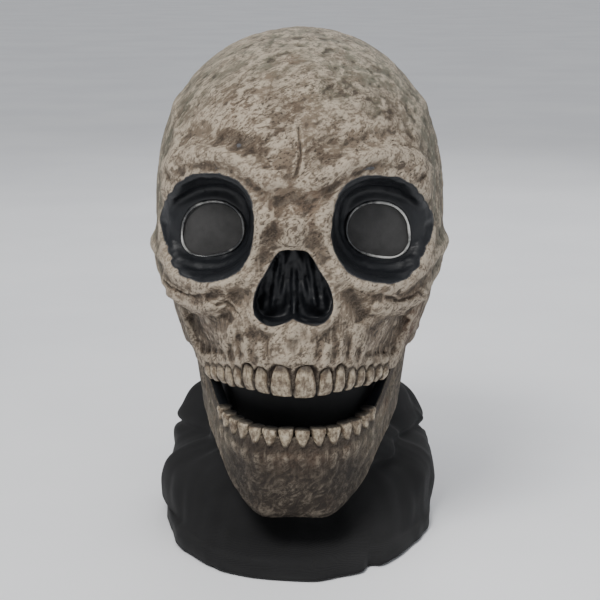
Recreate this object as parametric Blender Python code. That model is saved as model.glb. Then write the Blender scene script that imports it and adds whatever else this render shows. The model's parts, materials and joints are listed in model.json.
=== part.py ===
"""Full-head skull mask with a jaw that opens, standing on the hem of its neck skirt.

Metres, +Z up, the face looks along -Y and the origin is on the ground under the middle of the mask.
The latex head shell is a loft of rings from its lower rim to the crown. Azimuth 0 is the face and 180
the back of the head. Pads, strap and tabs lie on the same grid of points, so they fit its inner wall.
"""

import math

import bmesh
import bpy
from mathutils import Matrix, Vector

# ---------------------------------------------------------------- driving dimensions
CROWN_Z = 0.310  # top of the head above the ground
HEAD_HALF_WIDTH = 0.0905  # at the cheekbone arches
HEAD_FRONT = 0.1135  # reach of the face in front of HEAD_AXIS_Y
HEAD_BACK = 0.1105  # reach of the back of the head behind HEAD_AXIS_Y
HEAD_AXIS_Y = 0.006
SHELL_WALL = 0.003
RIM_FRONT_Z = 0.109  # biting edge of the upper teeth
RIM_SIDE_Z = 0.121  # notch that the jaw's arms come out of
RIM_BACK_Z = 0.090

SOCKET_X = 0.0515  # middle of an eye socket
SOCKET_Z = 0.2025
SOCKET_RADIUS = 0.0285  # half the width of its mouth
SOCKET_DEPTH = 0.024  # from the mouth's middle to the floor with the see-through hole
SOCKET_SET_BACK = 0.0135  # from the foremost point of the face back to the middle of its mouth
SOCKET_TOE_IN = math.radians(9)  # each socket's axis points this much towards the nose as it goes in
EYE_HOLE_HALF_WIDTH = 0.0185
EYE_HOLE_HALF_HEIGHT = 0.0165
MESH_THICKNESS = 0.0008
MESH_LAP = 0.004  # how far the eye mesh reaches past its hole
BEAD_RADIUS = 0.0007  # bead of glue round the eye hole

NOSE_TOP_Z = 0.193
NOSE_FLOOR_Z = 0.150
NOSE_HALF_WIDTH = 0.0225
NOSE_DEPTH = 0.0195  # from the foremost point of the face back to the cavity's back wall
SEPTUM_WIDTH = 0.0024
SEPTUM_SET_BACK = 0.0085

HINGE_Y = 0.010
HINGE_Z = 0.165
HINGE_PIN_RADIUS = 0.0025
HINGE_CLEARANCE = 0.0003
HINGE_HEAD_RADIUS = 0.0055
HINGE_HEAD_THICKNESS = 0.0016
HINGE_SEAT_DEPTH = 0.0030  # round recess in the side of the head that the pin's head lies in
BOSS_RADIUS = 0.0080
BOSS_LENGTH = 0.0110  # from the side of the head in to the end of the boss that the jaw hangs from
WASHER_RADIUS = 0.0065
WASHER_THICKNESS = 0.0012
CAP_LENGTH = 0.0045

JAW_WALL = 0.003
JAW_ANGLE_Z = 0.097  # height of the jaw's angle, where the jaw and the neck take their widths
JAW_INSET = 0.0162  # from the head's inner line at the angle in to the jaw at the corner of the mouth
RAMUS_WIDTH = 0.026  # front to back of the jaw's upright arm at the hinge
CHIN_Z = 0.030
CHIN_SET_BACK = 0.0235  # from the foremost point of the face
LOWER_TEETH_Z = 0.0865
LOWER_TEETH_SET_BACK = 0.0150

UPPER_TOOTH_WIDTHS = (0.0128, 0.0092, 0.0092, 0.0086, 0.0082, 0.0080, 0.0078)  # midline outwards
UPPER_TOOTH_HEIGHTS = (0.0172, 0.0160, 0.0150, 0.0140, 0.0130, 0.0120, 0.0110)
LOWER_TOOTH_WIDTHS = (0.0090, 0.0088, 0.0088, 0.0086, 0.0084, 0.0082)
LOWER_TOOTH_HEIGHTS = (0.0120, 0.0115, 0.0110, 0.0105, 0.0100, 0.0095)
TOOTH_DEPTH = 0.0056
TOOTH_GAP = 0.0014
TOOTH_PROUD = 0.0012  # teeth stand this far out of the latex round them

SKIRT_WALL = 0.0016
SKIRT_AXIS_Y = 0.018
HEM_FRONT_Y = -0.118
HEM_BACK_Y = 0.118
HEM_HALF_WIDTH = 0.0880
HEM_BAND = 0.0060  # flat strip of the skirt that lies on the ground
NECK_INSET = 0.0167  # from the head's inner line at the jaw's angle in to the neck of the skirt
NECK_FRONT_Y = -0.041
NECK_BACK_Y = 0.0715

PAD_THICKNESS = 0.008
STRAP_THICKNESS = 0.0015
TAB_THICKNESS = 0.0012
GAP = 0.0003  # between faces that touch

# ---------------------------------------------------------------- shape of the head
DOME_START = 0.68  # share of CROWN_Z where the skull starts to close into its dome
DOME_POWER = 2.1
# (share of CROWN_Z, share of the full reach) below the dome
WIDTH_SHARES = ((0.26, 0.72), (0.387, 0.84), (0.516, 0.945), (0.60, 0.985), (DOME_START, 1.0))
FRONT_SHARES = ((0.26, 1.0), (0.35, 1.0), (0.48, 0.985), (0.60, 0.965), (DOME_START, 0.99))
BACK_SHARES = ((0.26, 0.56), (0.387, 0.715), (0.484, 0.855), (0.58, 0.965), (DOME_START, 1.0))
# (share of CROWN_Z, roundness power of the section): under 2 is pointed, over 2 is boxy
FACE_POWERS = ((0.26, 1.6), (0.387, 1.62), (0.50, 1.95), (0.64, 2.55), (0.80, 2.35), (1.0, 2.1))
BACK_POWER = 2.1
# Swellings of the face: (x, z, half-width, half-height, how far they stand out)
SWELLINGS = (
    (0.040, 0.243, 0.026, 0.010, 0.0040),  # brow
    (0.000, 0.238, 0.014, 0.012, 0.0020),  # between the brows
    (0.000, 0.219, 0.012, 0.009, -0.0060),  # root of the nose
    (0.000, 0.200, 0.010, 0.011, 0.0040),  # nasal bones
    (0.066, 0.166, 0.020, 0.011, 0.0035),  # cheekbone
    (0.050, 0.134, 0.018, 0.014, -0.0040),  # hollow under the cheekbone
)
AROUND = 48  # points in each ring of the head
LEVELS = 20  # rings from rim to crown
SOFT_POWER = 1.25  # rings are closer together near the crown


def smooth_between(shares, at):
    """Value at `at` on a smooth line through (place, value) pairs, level beyond its ends."""
    if at <= shares[0][0]:
        return shares[0][1]
    for (low, first), (high, second) in zip(shares, shares[1:]):
        if at <= high:
            part = (at - low) / (high - low)
            eased = part if low == shares[0][0] else 0.5 * part + 0.5 * part * part * (3 - 2 * part)
            return first + (second - first) * eased
    return shares[-1][1]


def dome_share(share):
    """How much of the full reach is left at this share of the head's height, above DOME_START."""
    rise = (share - DOME_START) / (1 - DOME_START)
    return max(0.0, 1 - rise**DOME_POWER) ** (1 / DOME_POWER)


def reach_share(shares, share):
    return dome_share(share) if share > DOME_START else smooth_between(shares, share)


FACE_Y = HEAD_AXIS_Y - HEAD_FRONT
AHEAD_Y = FACE_Y - 0.030  # well in front of the face, where cutters start
SIDE_X = HEAD_HALF_WIDTH + 0.010  # well outside the head, where cutters start
SOCKET_MOUTH_Y = FACE_Y + SOCKET_SET_BACK
NOSE_BACK_Y = FACE_Y + NOSE_DEPTH
ANGLE_X = HEAD_HALF_WIDTH * reach_share(WIDTH_SHARES, JAW_ANGLE_Z / CROWN_Z) - SHELL_WALL
HINGE_SIDE_X = HEAD_HALF_WIDTH * reach_share(WIDTH_SHARES, HINGE_Z / CROWN_Z)
HINGE_SEAT_X = HINGE_SIDE_X - HINGE_SEAT_DEPTH
BOSS_FACE_X = HINGE_SIDE_X - BOSS_LENGTH
RAMUS_FACE_X = BOSS_FACE_X - WASHER_THICKNESS - 2 * GAP  # outer face of the jaw's arm
JAW_HALF_WIDTH = ANGLE_X - JAW_INSET
CHIN_Y = FACE_Y + CHIN_SET_BACK
LOWER_TEETH_Y = FACE_Y + LOWER_TEETH_SET_BACK
NECK_HALF_WIDTH = ANGLE_X - NECK_INSET


def swelling(x, z):
    """How far the face stands out of its plain section at this place."""
    total = 0.0
    for middle_x, middle_z, wide, high, out in SWELLINGS:
        near = ((abs(x) - middle_x) / wide) ** 2 + ((z - middle_z) / high) ** 2
        total += out * math.exp(-near)
    return total


def head_point(azimuth, z):
    """Point on the outside of the head. Azimuth 0 is the face, +90 degrees is +X."""
    share = z / CROWN_Z
    half_width = HEAD_HALF_WIDTH * reach_share(WIDTH_SHARES, share)
    ahead = math.cos(azimuth) > 0
    if ahead:
        reach = HEAD_FRONT * reach_share(FRONT_SHARES, share)
        power = smooth_between(FACE_POWERS, share)
    else:
        reach = HEAD_BACK * reach_share(BACK_SHARES, share)
        power = BACK_POWER
    side = math.copysign(abs(math.sin(azimuth)) ** (2 / power), math.sin(azimuth))
    along = abs(math.cos(azimuth)) ** (2 / power)
    x = half_width * side
    out = swelling(x, z) * along if ahead else 0.0
    y = HEAD_AXIS_Y + (-(reach + out) * along if ahead else reach * along)
    return Vector((x + out * side, y, z))


# (degrees from the face, height of the head shell's lower edge): it dips to the corners of the mouth,
# rises to a notch over the jaw's arms and drops to the nape
RIM_HEIGHTS = (
    (0, RIM_FRONT_Z),
    (50, RIM_FRONT_Z - 0.003),
    (74, RIM_SIDE_Z - 0.001),
    (100, RIM_SIDE_Z),
    (135, RIM_BACK_Z + 0.008),
    (180, RIM_BACK_Z),
)


def rim_z(azimuth):
    return smooth_between(RIM_HEIGHTS, math.degrees(math.acos(math.cos(azimuth))))


def level_share(level):
    """0 at the rim and near 1 at the crown, with the last ring just short of the pole."""
    part = level / LEVELS
    return 1 - (1 - part) ** SOFT_POWER


def azimuth_of(column):
    return math.tau * column / AROUND


def outside_point(column, level):
    azimuth = azimuth_of(column)
    low = rim_z(azimuth)
    return head_point(azimuth, low + (CROWN_Z - low) * level_share(level))


def wall_point(column, level, depth):
    """Point `depth` under the outside of the head, square to its surface."""
    here = outside_point(column, level)
    across = outside_point(column + 1, level) - outside_point(column - 1, level)
    up = outside_point(column, min(level + 1, LEVELS - 0.2)) - outside_point(column, max(level - 1, 0))
    return here - across.cross(up).normalized() * depth


# ---------------------------------------------------------------- building blocks
def clear_scene():
    for old in list(bpy.data.objects):
        bpy.data.objects.remove(old, do_unlink=True)


def material(name, colour, roughness, metallic=0.0):
    made = bpy.data.materials.new(name)
    made.use_nodes = True
    shader = made.node_tree.nodes["Principled BSDF"]
    shader.inputs["Base Color"].default_value = (*colour, 1.0)
    shader.inputs["Roughness"].default_value = roughness
    shader.inputs["Metallic"].default_value = metallic
    return made


def object_from(name, mesh_builder, finish=None):
    """New object whose mesh is what the bmesh holds, facing out and shaded smooth."""
    bmesh.ops.recalc_face_normals(mesh_builder, faces=mesh_builder.faces)
    mesh = bpy.data.meshes.new(name)
    mesh_builder.to_mesh(mesh)
    mesh_builder.free()
    mesh.shade_smooth()
    mesh.set_sharp_from_angle(angle=math.radians(40))
    made = bpy.data.objects.new(name, mesh)
    bpy.context.scene.collection.objects.link(made)
    if finish:
        mesh.materials.append(finish)
    return made


def helper(made):
    """A cutter, which isn't part of the mask."""
    made.hide_render = True
    made.display_type = "WIRE"
    return made


def combine(target, other, operation):
    change = target.modifiers.new(other.name, "BOOLEAN")
    change.operation = operation
    change.object = other
    change.solver = "EXACT"


def add_strip(builder, first, second, ring):
    """Quads between two rows of vertices."""
    count = len(first)
    for i in range(count if ring else count - 1):
        j = (i + 1) % count
        builder.faces.new((first[i], first[j], second[j], second[i]))


def solid_between(name, outside, inside, finish, ring=False):
    """Closed solid between two grids of points; with ring, each row closes on itself."""
    builder = bmesh.new()
    outer = [[builder.verts.new(point) for point in row] for row in outside]
    inner = [[builder.verts.new(point) for point in row] for row in inside]
    for grid in (outer, inner):
        for first, second in zip(grid, grid[1:]):
            add_strip(builder, first, second, ring)
    for end in (0, -1):
        add_strip(builder, outer[end], inner[end], ring)
        if not ring:
            add_strip(builder, [row[end] for row in outer], [row[end] for row in inner], False)
    return object_from(name, builder, finish)


def capped_loft(name, rings, low_tip, high_tip, finish=None):
    """Closed solid through the rings, with its two ends drawn to a point each."""
    builder = bmesh.new()
    rows = [[builder.verts.new(point) for point in ring] for ring in rings]
    for first, second in zip(rows, rows[1:]):
        add_strip(builder, first, second, True)
    for row, tip in ((rows[0], low_tip), (rows[-1], high_tip)):
        point = builder.verts.new(tip)
        for i, corner in enumerate(row):
            builder.faces.new((corner, row[(i + 1) % len(row)], point))
    return object_from(name, builder, finish)


def side_cylinder(name, radius, from_x, to_x, side, finish=None, segments=24):
    """Cylinder round the hinge's axis between two distances from the middle of the head."""
    builder = bmesh.new()
    bmesh.ops.create_cone(
        builder,
        cap_ends=True,
        segments=segments,
        radius1=radius,
        radius2=radius,
        depth=abs(to_x - from_x),
        matrix=Matrix.Rotation(math.radians(90), 4, "Y"),
    )
    made = object_from(name, builder, finish)
    made.location = (side * (from_x + to_x) / 2, HINGE_Y, HINGE_Z)
    return made


def prism(name, outline, from_y, to_y, finish=None):
    """Outline of (x, z) points drawn out along Y."""
    builder = bmesh.new()
    front = [builder.verts.new((x, from_y, z)) for x, z in outline]
    back = [builder.verts.new((x, to_y, z)) for x, z in outline]
    add_strip(builder, front, back, True)
    builder.faces.new(front)
    builder.faces.new(reversed(back))
    return object_from(name, builder, finish)


# ---------------------------------------------------------------- head shell
def head_solid():
    rings = [[outside_point(column, level) for column in range(AROUND)] for level in range(LEVELS)]
    middle_z = (RIM_FRONT_Z + RIM_BACK_Z) / 2
    return rings, Vector((0, HEAD_AXIS_Y, middle_z)), Vector((0, HEAD_AXIS_Y, CROWN_Z))


def head_void():
    """The space inside the head, which runs on below the rim."""
    rings = [
        [wall_point(column, level, SHELL_WALL) for column in range(AROUND)] for level in range(LEVELS)
    ]
    below = [point - Vector((0, 0, 0.02)) for point in rings[0]]
    low_tip = Vector((0, HEAD_AXIS_Y, RIM_BACK_Z - 0.025))
    high_tip = Vector((0, HEAD_AXIS_Y, CROWN_Z - SHELL_WALL))
    return helper(capped_loft("cut_head_void", [below, *rings], low_tip, high_tip))


def socket_place(side):
    """Matrix of a socket: its own +Y goes into the head from the middle of the mouth."""
    place = Matrix.Translation((side * SOCKET_X, SOCKET_MOUTH_Y, SOCKET_Z))
    return place @ Matrix.Rotation(side * SOCKET_TOE_IN, 4, "Z")


def oval(half_width, half_height, y, segments=32):
    step = math.tau / segments
    return [
        Vector((half_width * math.cos(i * step), y, half_height * math.sin(i * step)))
        for i in range(segments)
    ]


def socket_cone(name, side, grow, depth, finish=None):
    """Cone of an eye socket, wider by `grow` all round, from well in front of the face to its floor."""
    rings = []
    for share, y in ((1.0, -0.030), (1.0, 0.0), (0.97, 0.45 * depth), (0.84, 0.85 * depth), (0.74, depth)):
        radius = SOCKET_RADIUS * share + grow
        rings.append(oval(radius, radius, y))
    tips = (Vector((0, -0.030, 0)), Vector((0, depth, 0)))
    made = capped_loft(name, rings, *tips, finish)
    made.matrix_world = socket_place(side)
    return made


def eye_hole_cut(name, side):
    rings = [
        oval(EYE_HOLE_HALF_WIDTH, EYE_HOLE_HALF_HEIGHT, y)
        for y in (SOCKET_DEPTH - 0.004, SOCKET_DEPTH + SHELL_WALL + 0.004)
    ]
    tips = [Vector((0, ring[0].y, 0)) for ring in rings]
    made = capped_loft(name, rings, *tips)
    made.matrix_world = socket_place(side)
    return helper(made)


def rounded(outline, times=2):
    """Closed outline with its corners cut off, this many times."""
    for _ in range(times):
        cut = []
        for (x0, z0), (x1, z1) in zip(outline, [*outline[1:], outline[0]]):
            for part in (0.25, 0.75):
                cut.append((x0 + (x1 - x0) * part, z0 + (z1 - z0) * part))
        outline = cut
    return outline


def nose_outline(grow):
    """Pear shape of the nose opening, wider by `grow` all round."""
    half, top, floor = NOSE_HALF_WIDTH, NOSE_TOP_Z, NOSE_FLOOR_Z
    height = top - floor
    right = (
        (0.10 * half + grow * 0.3, floor + 0.12 * height - grow),
        (0.45 * half + grow * 0.3, floor - 0.04 * height - grow),
        (0.88 * half + grow * 0.8, floor + 0.02 * height - grow * 0.6),
        (1.06 * half + grow, floor + 0.24 * height),
        (0.86 * half + grow, floor + 0.60 * height),
        (0.50 * half + grow * 0.9, floor + 0.92 * height + grow * 0.3),
        (0.20 * half + grow * 0.3, top + 0.03 * height + grow),
    )
    return rounded([*right, *[(-x, z) for x, z in reversed(right)]])


def build_head_shell(latex):
    rings, low_tip, high_tip = head_solid()
    shell = capped_loft("skull_shell", rings, low_tip, high_tip, latex)
    void = head_void()
    for name, side in (("left", 1), ("right", -1)):
        block = socket_cone(f"cut_{name}_socket_wall", side, SHELL_WALL, SOCKET_DEPTH + SHELL_WALL)
        combine(void, helper(block), "DIFFERENCE")
        boss = side_cylinder(f"cut_{name}_boss", BOSS_RADIUS, BOSS_FACE_X, SIDE_X, side)
        combine(void, helper(boss), "DIFFERENCE")
    nose_wall = prism("cut_nose_wall", nose_outline(SHELL_WALL), AHEAD_Y, NOSE_BACK_Y + SHELL_WALL)
    combine(void, helper(nose_wall), "DIFFERENCE")
    combine(shell, void, "DIFFERENCE")
    for name, side in (("left", 1), ("right", -1)):
        combine(shell, helper(socket_cone(f"cut_{name}_socket", side, 0, SOCKET_DEPTH)), "DIFFERENCE")
        combine(shell, eye_hole_cut(f"cut_{name}_eye_hole", side), "DIFFERENCE")
        hole_radius = HINGE_PIN_RADIUS + HINGE_CLEARANCE
        hole = side_cylinder(f"cut_{name}_pin_hole", hole_radius, BOSS_FACE_X - 0.01, SIDE_X, side)
        seat_radius = HINGE_HEAD_RADIUS + HINGE_CLEARANCE
        seat = side_cylinder(f"cut_{name}_pin_seat", seat_radius, HINGE_SEAT_X, SIDE_X, side)
        combine(shell, helper(hole), "DIFFERENCE")
        combine(shell, helper(seat), "DIFFERENCE")
    combine(shell, helper(prism("cut_nose", nose_outline(0), AHEAD_Y, NOSE_BACK_Y)), "DIFFERENCE")
    combine(shell, build_septum(), "UNION")
    combine(shell, build_upper_teeth(), "UNION")
    return shell


def build_septum():
    """Thin wall down the middle of the nose cavity."""
    half = SEPTUM_WIDTH / 2
    height = NOSE_TOP_Z - NOSE_FLOOR_Z
    low, high = NOSE_FLOOR_Z - 0.5 * SHELL_WALL, NOSE_FLOOR_Z + 0.80 * height
    outline = [(-half, low), (half, low), (half, high), (-half, high)]
    front_y = FACE_Y + SEPTUM_SET_BACK
    return helper(prism("join_septum", outline, front_y, NOSE_BACK_Y + 0.5 * SHELL_WALL))


# ---------------------------------------------------------------- teeth
def add_tooth(builder, root, out, across, width, height, depth, up):
    """Rounded peg from its root row to its biting edge, `up` +1 if the root is above the edge."""
    rows = ((0.0, 1.0, 1.0), (0.80, 1.0, 0.92), (1.0, 0.80, 0.62))
    vertical = Vector((0, 0, up))
    loops = []
    for along, wide, deep in rows:
        corners = []
        for a, b in ((-0.5, -0.30), (-0.30, -0.5), (0.30, -0.5), (0.5, -0.30), (0.27, 0.5), (-0.27, 0.5)):
            offset = across * (a * width * wide) - out * (b * depth * deep)
            corners.append(builder.verts.new(root - vertical * (along * height) + offset))
        loops.append(corners)
    for first, second in zip(loops, loops[1:]):
        add_strip(builder, first, second, True)
    builder.faces.new(loops[0])
    builder.faces.new(loops[-1])


def place_teeth(builder, path, widths, heights, edge_z, up):
    """A row of teeth from the midline to each side, along path(share) in plan."""
    for side in (1, -1):
        reached = TOOTH_GAP / 2
        for width, height in zip(widths, heights):
            place, out = path(reached + width / 2)
            place = Vector((side * place.x, place.y, edge_z(place) + up * height))
            out = Vector((side * out.x, out.y, 0)).normalized()
            across = Vector((-out.y, out.x, 0))
            middle = place + out * (TOOTH_PROUD - TOOTH_DEPTH / 2)
            add_tooth(builder, middle, out, across, width, height, TOOTH_DEPTH, up)
            reached += width + TOOTH_GAP


def along_plan(point_at, start, end, steps=400):
    """Function of distance along a plan curve, giving its point and outward direction."""
    points = [point_at(start + (end - start) * i / steps) for i in range(steps + 1)]

    def at(distance):
        run = 0.0
        for first, second in zip(points, points[1:]):
            step = (second - first).to_2d().length
            if run + step >= distance:
                along = second - first
                return first + along * ((distance - run) / step), Vector((-along.y, along.x, 0)) * -1
            run += step
        return points[-1], Vector((1, 0, 0))

    return at


def build_upper_teeth():
    builder = bmesh.new()
    path = along_plan(lambda azimuth: head_point(azimuth, RIM_FRONT_Z), 0.0, math.radians(80))

    def edge_z(place):
        """The row's biting edge dips a little towards the back teeth."""
        return RIM_FRONT_Z + 0.0005 - 0.09 * max(0.0, place.y - FACE_Y - 0.015)

    place_teeth(builder, path, UPPER_TOOTH_WIDTHS, UPPER_TOOTH_HEIGHTS, edge_z, 1)
    return helper(object_from("join_upper_teeth", builder))


# ---------------------------------------------------------------- jaw
# Upper and lower edges of the jaw's outside, from the chin to the end of the right arm.
JAW_TOP = (
    (0.0, 0.000, LOWER_TEETH_Y, LOWER_TEETH_Z - 0.006),
    (0.18, 0.475 * JAW_HALF_WIDTH, LOWER_TEETH_Y + 0.007, LOWER_TEETH_Z - 0.006),
    (0.36, 0.812 * JAW_HALF_WIDTH, LOWER_TEETH_Y + 0.027, LOWER_TEETH_Z - 0.004),
    (0.52, JAW_HALF_WIDTH, LOWER_TEETH_Y + 0.049, LOWER_TEETH_Z + 0.003),
    (0.66, JAW_HALF_WIDTH + 0.0085, HINGE_Y - 0.034, 0.107),
    (0.80, RAMUS_FACE_X - 0.0032, HINGE_Y - RAMUS_WIDTH / 2 - 0.003, 0.140),
    (0.90, RAMUS_FACE_X + 0.001, HINGE_Y - RAMUS_WIDTH / 2, HINGE_Z),
    (1.0, RAMUS_FACE_X, HINGE_Y - 0.006, HINGE_Z + 0.013),
)
JAW_BOTTOM = (
    (0.0, 0.000, CHIN_Y, CHIN_Z),
    (0.18, 0.435 * JAW_HALF_WIDTH, CHIN_Y + 0.005, CHIN_Z),
    (0.36, 0.772 * JAW_HALF_WIDTH, CHIN_Y + 0.031, CHIN_Z + 0.011),
    (0.52, 0.970 * JAW_HALF_WIDTH, CHIN_Y + 0.053, CHIN_Z + 0.026),
    (0.66, JAW_HALF_WIDTH + 0.0065, HINGE_Y - 0.020, CHIN_Z + 0.038),
    (0.80, ANGLE_X - 0.0027, HINGE_Y + RAMUS_WIDTH / 2 - 0.010, 0.087),
    (0.90, RAMUS_FACE_X + 0.001, HINGE_Y + RAMUS_WIDTH / 2, HINGE_Z - 0.012),
    (1.0, RAMUS_FACE_X, HINGE_Y + 0.006, HINGE_Z + 0.013),
)
JAW_AROUND = 36
JAW_DOWN = 7
JAW_BULGE = 0.005


def catmull(points, at):
    """Smooth curve through rows of (share, x, y, z)."""
    last = len(points) - 2
    i = min(last, max(k for k in range(last + 1) if points[k][0] <= at or k == 0))
    low, high = points[i], points[i + 1]
    before = points[i - 1] if i else None
    after = points[i + 2] if i + 2 < len(points) else None
    part = (at - low[0]) / (high[0] - low[0])
    found = []
    for k in (1, 2, 3):
        span = high[0] - low[0]
        mirror = -1 if k == 1 else 1
        start_slope = (
            (high[k] - before[k]) / (high[0] - before[0])
            if before
            else (high[k] - mirror * high[k]) / (2 * high[0])
        )
        end_slope = (after[k] - low[k]) / (after[0] - low[0]) if after else (high[k] - low[k]) / span
        p2, p3 = part * part, part**3
        found.append(
            (2 * p3 - 3 * p2 + 1) * low[k]
            + (p3 - 2 * p2 + part) * span * start_slope
            + (3 * p2 - 2 * p3) * high[k]
            + (p3 - p2) * span * end_slope
        )
    return Vector(found)


def jaw_point(around, down):
    """Outside of the jaw: around -1 to 1 from arm to arm, down 0 at the upper edge and 1 below."""
    top, bottom = catmull(JAW_TOP, abs(around)), catmull(JAW_BOTTOM, abs(around))
    here = top.lerp(bottom, down)
    outward = Vector((here.x, here.y - HINGE_Y, 0))
    body = max(0.0, 1 - abs(around) / 0.7)
    here += outward.normalized() * (JAW_BULGE * body * (math.sin(math.pi * down) - 1.3 * (1 - down) * down))
    return Vector((math.copysign(min(here.x, RAMUS_FACE_X), around), here.y, here.z))


def jaw_wall_point(around, down, depth):
    step = 0.004
    here = jaw_point(around, down)
    before, after = max(-1.0, around - step), min(1.0, around + step)
    across = jaw_point(after, down) - jaw_point(before, down)
    fall = jaw_point(around, min(1.0, down + step)) - jaw_point(around, max(0.0, down - step))
    return here - across.cross(fall).normalized() * -depth


def jaw_rows(depth, columns=(0, JAW_AROUND), rows=(0, JAW_DOWN)):
    """Points of the jaw's grid, from arm to arm and from the upper edge down, this deep in its wall."""
    return [
        [
            jaw_wall_point(-1 + 2 * i / JAW_AROUND, j / JAW_DOWN, depth)
            for i in range(columns[0], columns[1] + 1)
        ]
        for j in range(rows[0], rows[1] + 1)
    ]


def build_jaw(latex):
    jaw = solid_between("jaw_shell", jaw_rows(0), jaw_rows(JAW_WALL), latex)
    for name, side in (("left", 1), ("right", -1)):
        radius = HINGE_PIN_RADIUS + HINGE_CLEARANCE
        hole = side_cylinder(f"cut_{name}_jaw_hole", radius, RAMUS_FACE_X - 0.01, SIDE_X, side)
        combine(jaw, helper(hole), "DIFFERENCE")
    combine(jaw, build_lower_teeth(), "UNION")
    return jaw


def build_lower_teeth():
    builder = bmesh.new()
    path = along_plan(lambda around: jaw_point(around, 0.0), 0.0, 0.60)

    def edge_z(place):
        return max(LOWER_TEETH_Z, catmull(JAW_TOP, 0.30).z) + 0.06 * max(0.0, place.y - LOWER_TEETH_Y - 0.02)

    place_teeth(builder, path, LOWER_TOOTH_WIDTHS, LOWER_TOOTH_HEIGHTS, edge_z, -1)
    return helper(object_from("join_lower_teeth", builder))


# ---------------------------------------------------------------- jaw hinges
def build_hinge(name, side, metal, rubber, plastic):
    """Pin through the head shell's boss, rubber washer, and cap that keeps the jaw's arm on the pin."""
    cap_face = RAMUS_FACE_X - JAW_WALL - GAP
    cap_back = cap_face - CAP_LENGTH
    pin_end = cap_back + 0.0015
    head_from = HINGE_SEAT_X + GAP
    head_to = head_from + HINGE_HEAD_THICKNESS
    pin = side_cylinder(f"{name}_hinge_pin", HINGE_HEAD_RADIUS, head_from, head_to, side, metal)
    shank = side_cylinder(f"join_{name}_shank", HINGE_PIN_RADIUS, pin_end, head_from + 0.0008, side)
    combine(pin, helper(shank), "UNION")
    hole_radius = HINGE_PIN_RADIUS + HINGE_CLEARANCE
    washer = side_cylinder(
        f"{name}_hinge_washer", WASHER_RADIUS, RAMUS_FACE_X + GAP, BOSS_FACE_X - GAP, side, rubber
    )
    cap = side_cylinder(f"{name}_hinge_cap", WASHER_RADIUS, cap_back, cap_face, side, plastic)
    bore = side_cylinder(f"cut_{name}_washer_bore", hole_radius, RAMUS_FACE_X - 0.001, SIDE_X, side)
    blind = side_cylinder(f"cut_{name}_cap_bore", hole_radius, pin_end - GAP, cap_face + 0.001, side)
    combine(washer, helper(bore), "DIFFERENCE")
    combine(cap, helper(blind), "DIFFERENCE")


# ---------------------------------------------------------------- eyes
def build_eye(name, side, gauze, glue):
    back = SOCKET_DEPTH + SHELL_WALL + GAP
    rings = [
        oval(EYE_HOLE_HALF_WIDTH + MESH_LAP, EYE_HOLE_HALF_HEIGHT + MESH_LAP, y)
        for y in (back, back + MESH_THICKNESS)
    ]
    tips = [Vector((0, ring[0].y, 0)) for ring in rings]
    mesh = capped_loft(f"{name}_eye_mesh", rings, *tips, gauze)
    mesh.matrix_world = socket_place(side)
    builder = bmesh.new()
    loops = []
    for i in range(8):
        turn = math.tau * i / 8
        inset = GAP + BEAD_RADIUS * (1 - math.cos(turn))
        y = SOCKET_DEPTH + SHELL_WALL - BEAD_RADIUS + BEAD_RADIUS * math.sin(turn)
        points = oval(EYE_HOLE_HALF_WIDTH - inset, EYE_HOLE_HALF_HEIGHT - inset, y)
        loops.append([builder.verts.new(point) for point in points])
    for i, loop in enumerate(loops):
        add_strip(builder, loop, loops[(i + 1) % 8], True)
    bead = object_from(f"{name}_eye_glue_bead", builder, glue)
    bead.matrix_world = socket_place(side)


# ---------------------------------------------------------------- skirt
def inner_wall_y(z, ahead):
    """Where the head's inner wall is at its middle, a gap inside it, in front or behind."""
    reach, shares = (-HEAD_FRONT, FRONT_SHARES) if ahead else (HEAD_BACK, BACK_SHARES)
    clear = 1.35 * SHELL_WALL + GAP
    return HEAD_AXIS_Y + reach * reach_share(shares, z / CROWN_Z) + math.copysign(clear, -reach)


def skirt_top(above_front, inside_front, half_width, side_z, above_back):
    """One of the rings that lie inside the head's rim, at heights above the rim in front and behind."""
    front_z, back_z = RIM_FRONT_Z + above_front, RIM_BACK_Z + above_back
    front_y = inner_wall_y(front_z, True) + inside_front
    return front_y, front_z, half_width, side_z, inner_wall_y(back_z, False), back_z, 0.0


# Rings of the skirt's outside from its glued upper edge to the hem:
# (front y, front z, half-width, side z, back y, back z, how far its shoulders swell behind the jaw)
SKIRT_RINGS = (
    skirt_top(0.026, 0.0, NECK_HALF_WIDTH + 0.0030, 0.1200, 0.016),
    skirt_top(0.018, 0.002, NECK_HALF_WIDTH + 0.0020, 0.1150, 0.010),
    skirt_top(-0.001, 0.0225, NECK_HALF_WIDTH + 0.0005, 0.1050, 0.003),
    (-0.0680, 0.0870, NECK_HALF_WIDTH - 0.0005, 0.0900, NECK_BACK_Y - 0.0050, 0.0850, 0.004),
    (-0.0550, 0.0680, NECK_HALF_WIDTH, 0.0750, NECK_BACK_Y - 0.0010, 0.0730, 0.020),
    (-0.0440, 0.0500, NECK_HALF_WIDTH + 0.0020, 0.0600, NECK_BACK_Y + 0.0040, 0.0600, 0.026),
    (NECK_FRONT_Y, 0.0320, NECK_HALF_WIDTH + 0.0160, 0.0480, NECK_BACK_Y + 0.0120, 0.0470, 0.020),
    (-0.0440, 0.0180, HEM_HALF_WIDTH - 0.0070, 0.0360, NECK_BACK_Y + 0.0220, 0.0340, 0.010),
    (-0.0570, 0.0090, HEM_HALF_WIDTH - 0.0030, 0.0230, HEM_BACK_Y - 0.0150, 0.0200, 0.004),
    (-0.0800, 0.0050, HEM_HALF_WIDTH - 0.0040, 0.0100, HEM_BACK_Y - 0.0080, 0.0080, 0.0),
)
SKIRT_POWER_FRONT = 2.0
SKIRT_POWER_BACK = 2.5


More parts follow.
